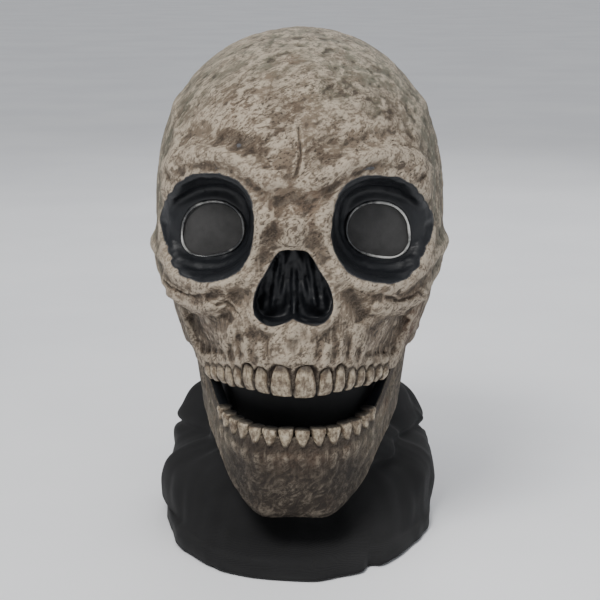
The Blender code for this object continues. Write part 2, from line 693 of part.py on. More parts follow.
def skirt_ring_point(azimuth, front_y, front_z, half_width, side_z, back_y, back_z, shoulder=0.0):
    ahead = math.cos(azimuth) > 0
    power = SKIRT_POWER_FRONT if ahead else SKIRT_POWER_BACK
    side = math.copysign(abs(math.sin(azimuth)) ** (2 / power), math.sin(azimuth))
    along = abs(math.cos(azimuth)) ** (2 / power)
    far_y, far_z = (front_y, front_z) if ahead else (back_y, back_z)
    weight = math.sin(azimuth) ** 2
    x = half_width * side + (0.0 if ahead else -shoulder * math.sin(2 * azimuth))
    z = side_z * weight + far_z * (1 - weight)
    return Vector((x, SKIRT_AXIS_Y + (far_y - SKIRT_AXIS_Y) * along, z))


def hem_ring(inset, z):
    values = (HEM_FRONT_Y + inset, z, HEM_HALF_WIDTH - inset, z, HEM_BACK_Y - inset, z)
    return [skirt_ring_point(azimuth_of(column), *values) for column in range(AROUND)]


def build_skirt(fabric):
    outside = [
        [skirt_ring_point(azimuth_of(column), *ring) for column in range(AROUND)] for ring in SKIRT_RINGS
    ]
    inside = []
    for row, ring in enumerate(outside):
        above, below = outside[max(row - 1, 0)], outside[min(row + 1, len(outside) - 1)]
        inner = []
        for column, point in enumerate(ring):
            across = ring[(column + 1) % AROUND] - ring[column - 1]
            fall = below[column] - above[column]
            inner.append(point + across.cross(fall).normalized() * SKIRT_WALL)
        inside.append(inner)
    outside += [hem_ring(HEM_BAND, SKIRT_WALL), hem_ring(0, SKIRT_WALL)]
    inside += [hem_ring(HEM_BAND + 0.001, 0), hem_ring(0, 0)]
    return solid_between("neck_skirt", outside, inside, fabric, ring=True)


# ---------------------------------------------------------------- pads and strap
def wall_patch(name, columns, levels, depth, thickness, finish, sag=0.0):
    """Solid on the head's inner wall over a range of its grid, hanging clear by sag in its middle."""
    first, last = columns
    count = last - first

    def hang(column):
        return sag * math.sin(math.pi * (column - first) / count) ** 0.7

    def rows(under):
        return [
            [wall_point(column, level, under + hang(column)) for column in range(first, last + 1)]
            for level in range(levels[0], levels[1] + 1)
        ]

    return solid_between(name, rows(depth), rows(depth + thickness), finish)


def build_lining(foam, webbing, tape):
    lining = SHELL_WALL + GAP
    wall_patch("forehead_pad", (-4, 4), (11, 13), lining, PAD_THICKNESS, foam)
    wall_patch("crown_pad", (20, 28), (16, 18), lining, PAD_THICKNESS, foam)
    wall_patch("left_side_pad", (12, 15), (10, 13), lining, PAD_THICKNESS, foam)
    wall_patch("right_side_pad", (-15, -12), (10, 13), lining, PAD_THICKNESS, foam)
    wall_patch("left_strap_tab", (15, 17), (8, 9), lining, TAB_THICKNESS, tape)
    wall_patch("right_strap_tab", (31, 33), (8, 9), lining, TAB_THICKNESS, tape)
    under_tabs = lining + TAB_THICKNESS + GAP
    wall_patch("head_strap", (16, 32), (8, 9), under_tabs, STRAP_THICKNESS, webbing, sag=0.012)


def build_chin_pad(foam):
    part = {"columns": (JAW_AROUND // 2 - 4, JAW_AROUND // 2 + 4), "rows": (2, 5)}
    outer = JAW_WALL + GAP
    solid_between("chin_pad", jaw_rows(outer, **part), jaw_rows(outer + PAD_THICKNESS, **part), foam)


def main():
    clear_scene()
    latex = material("bone latex", (0.27, 0.22, 0.17), 0.65)
    fabric = material("black skirt fabric", (0.012, 0.012, 0.013), 0.85)
    gauze = material("black eye gauze", (0.05, 0.05, 0.055), 0.8)
    glue = material("clear glue", (0.5, 0.5, 0.5), 0.25)
    foam = material("grey foam", (0.10, 0.10, 0.10), 0.95)
    webbing = material("black elastic", (0.015, 0.015, 0.017), 0.8)
    metal = material("blackened steel", (0.05, 0.05, 0.05), 0.4, 1.0)
    plastic = material("black nylon", (0.02, 0.02, 0.02), 0.45)
    rubber = material("grey rubber", (0.06, 0.06, 0.06), 0.7)
    build_head_shell(latex)
    build_jaw(latex)
    build_skirt(fabric)
    build_lining(foam, webbing, fabric)
    build_chin_pad(foam)
    for name, side in (("left", 1), ("right", -1)):
        build_eye(name, side, gauze, glue)
        build_hinge(name, side, metal, rubber, plastic)


main()
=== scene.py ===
"""Looks of the full-head skull mask: sculpted and painted latex, teeth, gauze eyes and a black skirt.

The skull is sculpted as a field of distances on a grid, in millimetres, negative inside the latex.
Its relief is drawn as height maps seen from the front, the side and the back, its sockets and nose
are cut in 3-D, and the grid then becomes a mesh. The jaw and the skirt are lofts.
"""

import json
import math

import bmesh
import bpy
import numpy as np
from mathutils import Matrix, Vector


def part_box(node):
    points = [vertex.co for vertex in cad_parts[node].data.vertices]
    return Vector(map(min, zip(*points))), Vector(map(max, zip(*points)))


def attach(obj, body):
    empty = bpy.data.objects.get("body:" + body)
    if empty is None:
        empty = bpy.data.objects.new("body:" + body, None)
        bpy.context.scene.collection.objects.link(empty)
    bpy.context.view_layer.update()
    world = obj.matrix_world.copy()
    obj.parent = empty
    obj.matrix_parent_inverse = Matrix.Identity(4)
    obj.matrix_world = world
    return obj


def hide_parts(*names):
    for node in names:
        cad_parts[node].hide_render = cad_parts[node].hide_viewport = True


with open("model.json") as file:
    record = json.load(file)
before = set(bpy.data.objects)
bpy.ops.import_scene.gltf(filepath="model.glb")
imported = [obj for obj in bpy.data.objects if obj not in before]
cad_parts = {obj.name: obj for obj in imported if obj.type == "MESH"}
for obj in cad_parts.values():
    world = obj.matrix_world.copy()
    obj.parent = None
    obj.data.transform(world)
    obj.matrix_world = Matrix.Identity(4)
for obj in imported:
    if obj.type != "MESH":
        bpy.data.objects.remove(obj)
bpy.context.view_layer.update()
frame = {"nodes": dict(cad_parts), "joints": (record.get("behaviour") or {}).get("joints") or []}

MM = 0.001


def box_mm(node):
    low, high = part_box(node)
    return low / MM, high / MM


SKULL_LOW, SKULL_HIGH = box_mm("skull_shell")
SKIRT_LOW, SKIRT_HIGH = box_mm("neck_skirt")
PIN_INNER_X = box_mm("left_hinge_pin")[0].x
_, HINGE_Y, HINGE_Z = Vector(frame["joints"][0]["pos_m"]) / MM

# ---------------------------------------------------------------- sizes of the skull, in millimetres
CROWN_Z = SKULL_HIGH.z
FACE_Y = SKULL_LOW.y + 1.4  # the plain face, without the brow's swelling
AXIS_Y = 6.0
DOME_Z = 0.68 * CROWN_Z  # where the skull starts to close into its dome
DOME_POWER = 2.1
SKULL_WALL = 3.0
# (height, half-width), (height, reach ahead of the axis), (height, reach behind it)
WIDTHS = (
    (85, 62.5), (99, 65.5), (112, 70.5), (129, 76), (143, 80.5),
    (157, 84), (170, 86.6), (186, 88), (205, 88.5),
)
FRONTS = ((81, 1.0), (108, 1.0), (149, 0.985), (186, 0.965), (211, 0.99))
BACKS = ((81, 0.56), (120, 0.715), (150, 0.855), (180, 0.965), (211, 1.0))
# (height, power of the outline ahead of the axis: 2 is an ellipse, more is squarer)
POWERS = ((81, 1.6), (120, 1.62), (155, 1.95), (198, 2.5), (248, 2.3), (310, 2.1))
BACK_POWER = 2.1
REACH_AHEAD = AXIS_Y - FACE_Y
REACH_BEHIND = SKULL_HIGH.y - AXIS_Y + 0.2
# (degrees from the face, height of the latex's lower edge)
RIM = ((0, 112), (40, 110), (55, 109.2), (74, 120.5), (100, 121), (135, 98), (180, 90.5))

GRID_STEP = 1.15
BACK_STEP = 2.2
FINE_TO_Y = -46  # the grid is fine ahead of this place
LOWEST_Z = 84
SIDE_MARGIN, FRONT_MARGIN, TOP_MARGIN = 8, 14, 5
MOST_TRIANGLES = 185000

SOCKET_MIDDLE = Vector((51.5, -94.0, 202.5))
SOCKET_TOE_IN = math.radians(9)
TOE_COS, TOE_SIN = math.cos(SOCKET_TOE_IN), math.sin(SOCKET_TOE_IN)
SOCKET_RADIUS = 28.5
SOCKET_DEPTH = 24.0
EYE_HOLE = (18.4, 16.0)
EYE_POWER = 2.3
EYE_LEAN = 0.12
EYE_WAVE, EYE_WAVE_TURN = 0.5, 0.7  # the hole's edge goes in and out three times round
EYE_DROP = 4.2  # from the middle of the socket down to the middle of its see-through hole

NOSE_BACK_Y = -88.0
# (x, z, radius) of the round patches that make up one half of the nose opening
NOSE_PATCHES = (
    (4.6, 160.2, 7.6), (3.6, 168.0, 8.0), (3.0, 179.0, 6.5), (11.6, 160.0, 10.4), (10.6, 166.0, 10.0),
    (8.6, 172.5, 8.6), (7.0, 179.0, 6.4), (6.0, 184.0, 5.2), (4.6, 187.6, 4.0), (1.2, 186.6, 5.2),
)
# (place across, half-width, height) of the folds at the back of the nose
NOSE_FOLDS = ((6.2, 1.7, 3.2), (11.2, 2.0, 4.0), (16.0, 1.6, 2.4))

# round the hinge: a boss on the wall, the seat of the pin's head and the hole for its shank
BOSS_X, BOSS_HALF, BOSS_RADIUS = 79.5, 4.5, 8.0
PIN_SEAT_X, PIN_SEAT_RADIUS = PIN_INNER_X + 16.1, 6.2
PIN_HOLE_X, PIN_HOLE_RADIUS = 60, 2.8


def srgb(red, green, blue):
    """Linear colour of an 8-bit one."""
    return tuple(((value / 255 + 0.055) / 1.055) ** 2.4 for value in (red, green, blue))


SLANT = math.radians(35)  # of the flecks of old paint
SKULL_SEED, JAW_SEED = 3, 51

BONE = srgb(133, 118, 101)
BONE_DEEP = srgb(86, 73, 60)
BONE_PALE = srgb(190, 176, 156)
WASH = srgb(46, 37, 30)
RUST = srgb(98, 58, 34)
# grey-green tint: painted shade on the sides, and random patches on the crown
GREEN_TINT_AND_SHADE = srgb(112, 113, 98)
# dark brown of the painted shade on the lower sides, the back and under the jaw
SHADE_BROWN = srgb(37, 31, 26)
BLACK_PAINT = srgb(17, 19, 23)
THIN_BLACK = srgb(62, 64, 68)
TOOTH = srgb(168, 155, 133)
TOOTH_STAIN = srgb(92, 77, 61)
CLOTH = srgb(21, 21, 22)


# ---------------------------------------------------------------- numbers on arrays
def between(table, at, level_ends=True):
    """Values on a smooth line through (place, value) pairs, level beyond its ends."""
    places = np.array([row[0] for row in table], float)
    values = np.array([row[1] for row in table], float)
    slopes = np.gradient(values, places)
    if level_ends:
        slopes[0] = slopes[-1] = 0
    at = np.clip(at, places[0], places[-1])
    i = np.clip(np.searchsorted(places, at, side="right") - 1, 0, len(places) - 2)
    span = places[i + 1] - places[i]
    t = (at - places[i]) / span
    return (
        (2 * t**3 - 3 * t**2 + 1) * values[i]
        + (t**3 - 2 * t**2 + t) * span * slopes[i]
        + (3 * t**2 - 2 * t**3) * values[i + 1]
        + (t**3 - t**2) * span * slopes[i + 1]
    )


def ease(low, high, value):
    t = np.clip((value - low) / (high - low), 0, 1)
    return t * t * (3 - 2 * t)


def bell(*places):
    """1 in the middle and near 0 from about 2 away, over one or more axes."""
    return np.exp(-sum(place**2 for place in places))


def smooth_max(a, b, soft):
    mix = np.clip(0.5 + 0.5 * (a - b) / soft, 0, 1)
    return b + (a - b) * mix + soft * mix * (1 - mix)


def smooth_min(a, b, soft):
    return -smooth_max(-a, -b, soft)


def lattice_noise(points, size, seed):
    """Smooth noise from -1 to 1 with lumps about this size, at rows of points."""
    count = 32
    lattice = np.random.default_rng(seed).uniform(-1, 1, (count, count, count))
    scaled = np.asarray(points, float) / size
    cell = np.floor(scaled).astype(int)
    part = scaled - cell
    part = part * part * (3 - 2 * part)
    total = np.zeros(len(scaled))
    for corner in np.ndindex(2, 2, 2):
        weight = np.ones(len(scaled))
        for axis in range(3):
            weight *= part[:, axis] if corner[axis] else 1 - part[:, axis]
        i, j, k = ((cell[:, axis] + corner[axis]) % count for axis in range(3))
        total += weight * lattice[i, j, k]
    return total


def fractal_noise(points, size, seed, octaves=4, fall=0.5):
    total, height, sum_heights = 0.0, 1.0, 0.0
    for octave in range(octaves):
        total = total + height * lattice_noise(points, size / 2**octave, seed + octave)
        sum_heights += height
        height *= fall
    return total / sum_heights * 1.6


def line_distance(u, v, line):
    """Distance in a plane from each place to an open line, and the share of the way along it."""
    nearest = np.full(np.broadcast(u, v).shape, 1e6)
    along = np.zeros_like(nearest)
    for i, ((u0, v0), (u1, v1)) in enumerate(zip(line, line[1:])):
        du, dv = u1 - u0, v1 - v0
        part = np.clip(((u - u0) * du + (v - v0) * dv) / (du * du + dv * dv), 0, 1)
        distance = np.hypot(u - u0 - part * du, v - v0 - part * dv)
        closer = distance < nearest
        nearest = np.where(closer, distance, nearest)
        along = np.where(closer, (i + part) / (len(line) - 1), along)
    return nearest, along


def rounded_line(points, times=2):
    """The open line with its corners cut off, this many times."""
    for _ in range(times):
        cut = [points[0]]
        for (u0, v0), (u1, v1) in zip(points, points[1:]):
            cut += [(u0 + (u1 - u0) * part, v0 + (v1 - v0) * part) for part in (0.25, 0.75)]
        points = [*cut, points[-1]]
    return points


# ---------------------------------------------------------------- relief of the skull
# (line of places, half-width, height) seen from the front, on one half: (x, z)
FRONT_RIDGES = (
    # brow
    (((8, 229), (24, 238), (42, 242.5), (60, 240), (75, 229), (82, 214), (83, 200)), 6.5, 4.2),
    # lower rim of the socket
    (((23, 179), (36, 171), (54, 169.5), (70, 176), (80, 188), (84, 203)), 4.5, 3.4),
    (((14, 217), (20, 200), (25, 184), (27, 168)), 5.0, 2.6),  # bone beside the nose
    (((0, 212), (0, 195)), 7.5, 6.0),  # nasal bones
    # rim of the nose
    (((3, 193), (8, 187), (13, 178), (19, 170), (23, 160), (20, 150), (12, 146.5)), 3.0, 2.6),
    (((0, 152), (0, 143)), 3.5, 3.4),  # spine under the nose
    (((44, 158), (60, 152.5), (78, 158)), 5.0, 4.4),  # lower edge of the cheekbone
    (((50, 166), (66, 163), (80, 168)), 9.0, 3.6),  # cheekbone
    (((73, 150), (67, 134), (60, 116)), 2.6, 1.8),  # pillar down to the back teeth
    (((30, 158), (37, 141), (43, 128)), 4.5, 2.0),  # root of the eye tooth
    (((0, 118), (20, 117), (38, 115), (54, 112)), 6.0, 1.2),  # gum
    # sharp upper edge of the brow, and the dip between it and the socket
    (((28, 242), (44, 247), (58, 246.5), (72, 241), (82, 228)), 2.2, 2.2),
    (((32, 235), (48, 239), (62, 236.5), (74, 227)), 3.2, -2.2),
    (((20, 249), (40, 254), (58, 252)), 5.0, -1.2),  # dip above the brow
    (((16, 224), (30, 231), (44, 234)), 3.0, -1.2),  # crease under the brow
    (((64, 143), (54, 132), (49, 122)), 9.0, -4.2),  # hollow under the cheekbone
    (((28, 176), (33, 160), (38, 148)), 5.5, -3.0),  # hollow beside the nose
    (((80, 146), (74, 130), (66, 112)), 4.5, -2.6),  # hollow behind the pillar
)
# (x, z, half-width, half-height, height) seen from the front
FRONT_LUMPS = (
    (0.0, 234.0, 15.0, 11.0, 2.2), (0.0, 220.0, 13.0, 6.5, -3.4), (34.0, 266.0, 24.0, 18.0, 1.6),
    (0.0, 284.0, 16.0, 20.0, 0.8), (0.0, 136.0, 20.0, 10.0, 1.2),
)
# (line of places, half-width, height) seen from the side: (y, z)
SIDE_RIDGES = (
    # arch of the cheekbone, its lower part, and the line round the temple
    (((-86, 168), (-70, 176), (-48, 181), (-24, 183), (-4, 181), (14, 176)), 6.0, 4.6),
    (((-74, 160), (-58, 160), (-40, 166), (-20, 172)), 7.0, 2.6),
    (((-78, 226), (-66, 246), (-44, 262), (-12, 268), (24, 262), (50, 240), (60, 214)), 4.5, 1.3),
    (((-34, 146), (-20, 132), (-16, 118)), 6.0, 1.5),  # muscle line down the cheek
    (((28, 168), (40, 150), (44, 132)), 7.0, 2.2),  # bone behind the ear
)
SIDE_LUMPS = (
    (-48.0, 212.0, 22.0, 21.0, -5.0),  # temple
    (-30.0, 226.0, 30.0, 26.0, -1.8),
    (-40.0, 148.0, 22.0, 11.0, -3.4),  # under the arch
    (26.0, 194.0, 16.0, 10.0, -1.4),
)
# seen from the back: (x, z)
BACK_RIDGES = (
    (((0, 194), (24, 190), (48, 178), (64, 160)), 5.0, 1.9),
    (((0, 168), (22, 162), (40, 150)), 4.0, 1.2),
    (((0, 190), (0, 150)), 3.5, 1.3),
)
BACK_LUMPS = (
    (0.0, 196.0, 11.0, 8.0, 2.0), (30.0, 238.0, 34.0, 26.0, 1.4), (24.0, 142.0, 20.0, 14.0, -1.8),
)


def height_map(u, v, ridges, lumps):
    """Heights over a plane, in millimetres: ridges along lines, and oval lumps."""
    total = np.zeros(np.broadcast(u, v).shape)
    for line, wide, high in ridges:
        distance, along = line_distance(u, v, rounded_line(line))
        fade = ease(0, 0.12, along) * ease(0, 0.12, 1 - along) * 0.6 + 0.4
        total += high * fade * bell(distance / wide)
    for middle_u, middle_v, wide, tall, high in lumps:
        total += high * bell((u - middle_u) / wide, (v - middle_v) / tall)
    return total


def section(z):
    """Half-width, reach ahead, reach behind, roundness and closing of the plain skull at a height."""
    low = np.minimum(z, DOME_Z)
    rise = np.clip((z - DOME_Z) / (CROWN_Z - DOME_Z), 0, None)
    return (
        between(WIDTHS, z),
        REACH_AHEAD * between(FRONTS, low),
        REACH_BEHIND * between(BACKS, low),
        between(POWERS, z),
        rise,
    )


def front_y(x, z):
    """Where the plain face is at this place, seen from the front."""
    wide, ahead, _, power, rise = section(np.asarray(z, float))
    full = np.clip(1 - rise**DOME_POWER, 0, 1) ** (1 / DOME_POWER)
    share = np.clip(1 - (np.abs(x) / (wide * full)) ** power, 0, 1) ** (1 / power)
    return AXIS_Y - ahead * full * share


# (width, height) from the middle outwards
UPPER_TEETH = (
    (13.0, 18.4), (9.6, 15.6), (7.8, 16.6), (6.8, 14.0),
    (7.2, 12.8), (7.4, 11.6), (7.0, 10.6), (6.4, 9.6),
)
UPPER_GAP = 1.9
UPPER_ROW_Z = 114.0  # where the row's line in plan is taken from the face
UPPER_EDGE_Z = 108.2
EDGE_FALL, EDGE_FALL_FROM_Y = 0.055, 96
EYE_TOOTH = 2  # its number from the middle, and it has the longest root
GUM_ARCH, GUM_POWER = 3.6, 2.2  # how far the gum comes down between two teeth, and how sharply


def arc_lengths(plan):
    return np.concatenate([[0], np.cumsum(np.hypot(*np.diff(plan, axis=0).T))])


def tooth_middles(sizes, gap):
    """How far along its row the middle of each tooth is."""
    found, reached = [], gap / 2
    for width, _ in sizes:
        found.append(reached + width / 2)
        reached += width + gap
    return found


def tooth_row(plan, sizes, gap):
    """(place, outward direction, width, height) of each tooth of one half, along a line in plan."""
    lengths = arc_lengths(plan)
    found = []
    for at, (width, height) in zip(tooth_middles(sizes, gap), sizes):
        place = [np.interp(at, lengths, plan[:, k]) for k in (0, 1)]
        ahead = [np.interp(at + 1, lengths, plan[:, k]) for k in (0, 1)]
        along = Vector((ahead[0] - place[0], ahead[1] - place[1])).normalized()
        found.append((Vector(place), Vector((along.y, -along.x)), width, height))
    return found


def upper_row():
    x = np.linspace(0, 66, 400)
    plan = np.stack([x, front_y(x, np.full_like(x, UPPER_ROW_Z))], axis=1)
    return tooth_row(plan, UPPER_TEETH, UPPER_GAP)


def upper_edge_z(place):
    return UPPER_EDGE_Z - EDGE_FALL * max(0.0, place.y + EDGE_FALL_FROM_Y)


def gum_stain(x, z):
    """How brown the latex is round the upper teeth, from the edge of the gum down."""
    total = np.zeros(np.broadcast(x, z).shape)
    for place, out, width, height in upper_row():
        half = 0.5 * (width + UPPER_GAP) * abs(out.y) + 0.5
        share = np.abs(x - place.x) / half
        line = upper_edge_z(place) + height - GUM_ARCH * share**GUM_POWER + 0.4
        total = np.maximum(total, ease(1.1, -0.3, z - line) * (share < 1.15))
    return total


def root_map(x, z):
    """Seats that the upper teeth stand in, and bony ridges over their roots."""
    total = np.zeros(np.broadcast(x, z).shape)
    for number, (place, out, width, height) in enumerate(upper_row()):
        half = 0.5 * width * abs(out.y) + 0.3
        gum_z = upper_edge_z(place) + height
        seat_top = gum_z - GUM_ARCH * (np.abs(x - place.x) / half) ** GUM_POWER
        seat = ease(-0.8, 0.8, np.minimum(half - np.abs(x - place.x), seat_top - z))
        total -= (0.3 + 2.1 * ease(52, 38, x)) * seat
        lean = place.x + (z - gum_z) * (0.02 + 0.014 * number)
        longer = 6 if number == EYE_TOOTH else 0
        top = gum_z + 24 + longer - 1.5 * number
        fade = ease(0, 14, top - z)
        total += 2.0 * (ease(-1.5, 3, z - gum_z) * fade) * bell((x - lean) / (0.66 * half))
        edge = lean + half + 0.5 * UPPER_GAP
        total -= 1.0 * ease(2, 7, z - gum_z) * fade * bell((x - edge) / 1.7)
    return total


def rim_height(x, y):
    turn = np.degrees(np.arctan2(np.abs(x), -(y - AXIS_Y)))
    return between(RIM, turn)


def socket_place(x, y, z):
    """Places in a socket's own axes: across, in from its mouth, and up."""
    dx, dy, dz = x - SOCKET_MIDDLE.x, y - SOCKET_MIDDLE.y, z - SOCKET_MIDDLE.z
    return dx * TOE_COS + dy * TOE_SIN, -dx * TOE_SIN + dy * TOE_COS, dz


def socket_distance(x, y, z):
    """Distance to the wall of an eye socket, negative in its hollow, and the depth in it."""
    across, deep, up = socket_place(x, y, z)
    droop = up + 0.10 * across
    outer_side = ease(4, 26, across) * bell(up / 19)
    taper = 0.16 * np.clip(deep, 0, None) + 0.45 * np.clip(deep - 12, 0, None)
    radius = SOCKET_RADIUS + 0.8 - taper * (1 - 0.72 * outer_side)
    flare = 0.45 * np.clip(-deep, 0, 8) ** 1.3 * 0.3
    rings = 0.55 * np.cos(deep * 0.9) * ease(2, 8, deep)
    radius = radius + flare + rings
    power = 2.3 - 0.3 * ease(0, 18, across)
    shape = (np.abs(across / 1.02) ** power + np.abs(droop / 0.97) ** power) ** (1 / power)
    return shape - radius, deep


def nose_distance(x, z):
    """Distance to the edge of the nose opening, seen from the front, negative inside it."""
    nearest = None
    for middle_x, middle_z, radius in NOSE_PATCHES:
        patch = np.hypot(np.abs(x) - middle_x, z - middle_z) - radius
        nearest = patch if nearest is None else smooth_min(nearest, patch, 3.0)
    return nearest


def box_blur(field, reach):
    """Average over a box of cells, along each axis in turn."""
    for axis in range(3):
        padding = [(0, 0)] * 3
        padding[axis] = (reach + 1, reach)
        total = np.cumsum(np.pad(field, padding, mode="edge"), axis=axis, dtype=np.float64)
        after = np.take(total, range(2 * reach + 1, total.shape[axis]), axis=axis)
        before = np.take(total, range(0, total.shape[axis] - 2 * reach - 1), axis=axis)
        field = ((after - before) / (2 * reach + 1)).astype(np.float32)
    return field


def grid_axes():
    """Places of the grid along X (one half), Y and Z: finer in front than behind."""
    half = np.arange(-2 * GRID_STEP, SKULL_HIGH.x + SIDE_MARGIN, GRID_STEP)
    fine = np.arange(FACE_Y - FRONT_MARGIN, FINE_TO_Y, GRID_STEP)
    rough = np.arange(fine[-1] + BACK_STEP, SKULL_HIGH.y + SIDE_MARGIN, BACK_STEP)
    up = np.arange(LOWEST_Z, CROWN_Z + TOP_MARGIN, GRID_STEP)
    return half, np.concatenate([fine, rough]), up


def spread(axes):
    """Places x (on one half), y and z of the whole grid, as arrays that broadcast together."""
    return np.ix_(np.abs(axes[0]), axes[1], axes[2])


def skull_field(axes):
    """Distances to the outside of the skull, without its sockets, nose and inner wall."""
    x, y, z = (part.astype(np.float32) for part in spread(axes))
    wide, ahead, behind, power, rise = (part.astype(np.float32) for part in section(z))
    forward = y < AXIS_Y
    reach = np.where(forward, ahead, behind)
    roundness = np.where(forward, power, BACK_POWER)
    flat = ((x / wide) ** roundness + (np.abs(y - AXIS_Y) / reach) ** roundness) ** (1 / roundness)
    radius = (flat**DOME_POWER + rise**DOME_POWER) ** (1 / DOME_POWER)
    slopes = np.gradient(radius, *axes)
    steepness = np.sqrt(sum(slope**2 for slope in slopes))
    field = (radius - 1) / np.maximum(steepness, 0.004)
    flat_x, flat_y, flat_z = np.abs(axes[0])[:, None], axes[1][:, None], axes[2][None, :]
    front = 1.15 * height_map(flat_x, flat_z, FRONT_RIDGES, FRONT_LUMPS) + root_map(flat_x, flat_z)
    side = height_map(flat_y, flat_z, SIDE_RIDGES, SIDE_LUMPS)
    back = height_map(flat_x, flat_z, BACK_RIDGES, BACK_LUMPS)
    steepness = np.maximum(steepness, 1e-6)
    mirror = np.where(axes[0] < 0, -1, 1)[:, None, None]
    forwards = np.clip(-slopes[1] / steepness, 0, 1)
    sideways = np.clip(slopes[0] / steepness * mirror, 0, 1)
    backwards = np.clip(slopes[1] / steepness, 0, 1)
    field -= front[:, None, :] * ease(0.05, 0.45, forwards)
    field -= side[None, :, :] * ease(0.25, 0.75, sideways)
    field -= back[:, None, :] * ease(0.05, 0.5, backwards)
    return field.astype(np.float32)


def cut_openings(field, x, y, z):
    """The sockets and the nose as hollows of the outside."""
    wall, deep = socket_distance(x, y, z)
    floor = SOCKET_DEPTH - 1.5 * bell((wall + 6) / 3)
    field = smooth_max(field, -np.maximum(wall, deep - floor), 3.0)
    folds = 4.5 * bell(x / 1.9) * ease(147, 154, z)
    for place, wide, high in NOSE_FOLDS:
        at = (x - place + (z - 165) * 0.14) / wide
        folds = folds + high * bell(at) * ease(150, 158, z)
    back = NOSE_BACK_Y - folds + 1.2 * np.cos(z * 0.35 + x * 0.3)
    return smooth_max(field, -np.maximum(nose_distance(x, z), y - back), 2.2)


def eye_hole_distance(x, y, z):
    """Distance to the edge of a see-through hole, and the depth in its socket."""
    across, deep, up = socket_place(x, y, z)
    bent = up + EYE_DROP + EYE_LEAN * across
    terms = [(np.abs(part) / half) ** EYE_POWER for part, half in zip((across, bent), EYE_HOLE)]
    edge = ((terms[0] + terms[1]) ** (1 / EYE_POWER) - 1) * EYE_HOLE[1]
    return edge + EYE_WAVE * np.sin(3 * np.arctan2(bent, across) + EYE_WAVE_TURN), deep


def shell_field(axes):
    """Distances to the latex wall, and the smoothed distances from its outside."""
    x, y, z = spread(axes)
    outside = cut_openings(skull_field(axes), x, y, z)
    soft = box_blur(box_blur(outside, 1), 1)
    shell = smooth_max(outside, -(soft + SKULL_WALL), 0.8)
    shell = smooth_max(shell, rim_height(x, y) - z, 1.6)
    off_axis = np.hypot(y - HINGE_Y, z - HINGE_Z)
    boss = np.maximum(off_axis - BOSS_RADIUS, np.abs(x - BOSS_X) - BOSS_HALF)
    shell = smooth_min(shell, boss, 0.8)
    shell = smooth_max(shell, -np.maximum(off_axis - PIN_SEAT_RADIUS, PIN_SEAT_X - x), 0.6)
    shell = np.maximum(shell, -np.maximum(off_axis - PIN_HOLE_RADIUS, PIN_HOLE_X - x))
    hole, deep = eye_hole_distance(x, y, z)
    shell = smooth_max(shell, -np.maximum(hole, np.abs(deep - SOCKET_DEPTH - 2) - 7), 0.7)
    return shell.astype(np.float32), soft


# ---------------------------------------------------------------- meshes
def surface_of(field, axes):
    """Points and quads of the surface where the field is 0, one point in each cell that it crosses."""
    inside = field < 0
    shape = tuple(size - 1 for size in field.shape)

    def corner(array, offset):
        return array[tuple(slice(o, o + size) for o, size in zip(offset, shape))]

    corners = list(np.ndindex(2, 2, 2))
    count = sum(corner(inside, offset).astype(np.int8) for offset in corners)
    crossed = (count > 0) & (count < 8)
    index = np.full(shape, -1, np.int64)
    index[crossed] = np.arange(int(crossed.sum()))
    cells = np.argwhere(crossed)
    values = {offset: corner(field, offset)[crossed] for offset in corners}
    places = {
        offset: np.stack([axes[k][cells[:, k] + offset[k]] for k in range(3)], axis=1)
        for offset in corners
    }
    total = np.zeros((len(cells), 3))
    hits = np.zeros(len(cells))
    for first in corners:
        for axis in range(3):
            if first[axis]:
                continue
            second = tuple(1 if k == axis else first[k] for k in range(3))
            a, b = values[first], values[second]
            cut = (a < 0) != (b < 0)
            part = np.where(cut, a / np.where(cut, a - b, 1), 0)[:, None]
            total += np.where(cut[:, None], places[first] * (1 - part) + places[second] * part, 0)
            hits += cut
    points = total / hits[:, None]
    quads = []
    for axis in range(3):
        one, two = [k for k in range(3) if k != axis]
        low = [slice(1, -1)] * 3
        low[axis] = slice(0, -1)
        high = list(low)
        high[axis] = slice(1, None)
        starts, ends = inside[tuple(low)], inside[tuple(high)]
        found = np.argwhere(starts != ends)
        leaving = starts[tuple(found.T)]
        cell = found + np.array([0 if k == axis else 1 for k in range(3)])
        around = []
        for back_one, back_two in ((1, 1), (0, 1), (0, 0), (1, 0)):
            at = cell.copy()
            at[:, one] -= back_one
            at[:, two] -= back_two
            around.append(index[at[:, 0], at[:, 1], at[:, 2]])
        quad = np.stack(around, axis=1)
        turn = leaving if axis != 1 else ~leaving
        quad[~turn] = quad[~turn][:, ::-1]
        quads.append(quad)
    return points, np.concatenate(quads)


def add_object(name, data):
    made = bpy.data.objects.new(name, data)
    bpy.context.scene.collection.objects.link(made)
    return made


def mesh_from(name, points_mm, faces):
    """Object from rows of points in millimetres and an array of faces that all have as many corners."""
    mesh = bpy.data.meshes.new(name)
    mesh.vertices.add(len(points_mm))
    mesh.vertices.foreach_set("co", (np.asarray(points_mm) * MM).astype(np.float32).ravel())
    mesh.loops.add(faces.size)
    mesh.loops.foreach_set("vertex_index", faces.astype(np.int32).ravel())
    mesh.polygons.add(len(faces))
    starts = np.arange(0, faces.size, faces.shape[1], dtype=np.int32)
    mesh.polygons.foreach_set("loop_start", starts)
    mesh.update(calc_edges=True)
    mesh.validate()
    mesh.shade_smooth()
    return add_object(name, mesh)


def tube_quads(index):
    """Quads between the neighbours in a grid of point numbers, each of whose rows closes on itself."""
    after = np.roll(index, -1, axis=1)
    return np.stack([index[:-1], after[:-1], after[1:], index[1:]], axis=-1)


def column_quads(columns, rows):
    """The same for points that are numbered down each column, where each row closes on itself."""
    index = np.arange(columns * rows).reshape(columns, rows)
    return tube_quads(index.T).swapaxes(0, 1).reshape(-1, 4)


def points_of(mesh):
    points = np.empty(len(mesh.vertices) * 3, np.float32)
    mesh.vertices.foreach_get("co", points)
    return points.reshape(-1, 3).astype(float) / MM


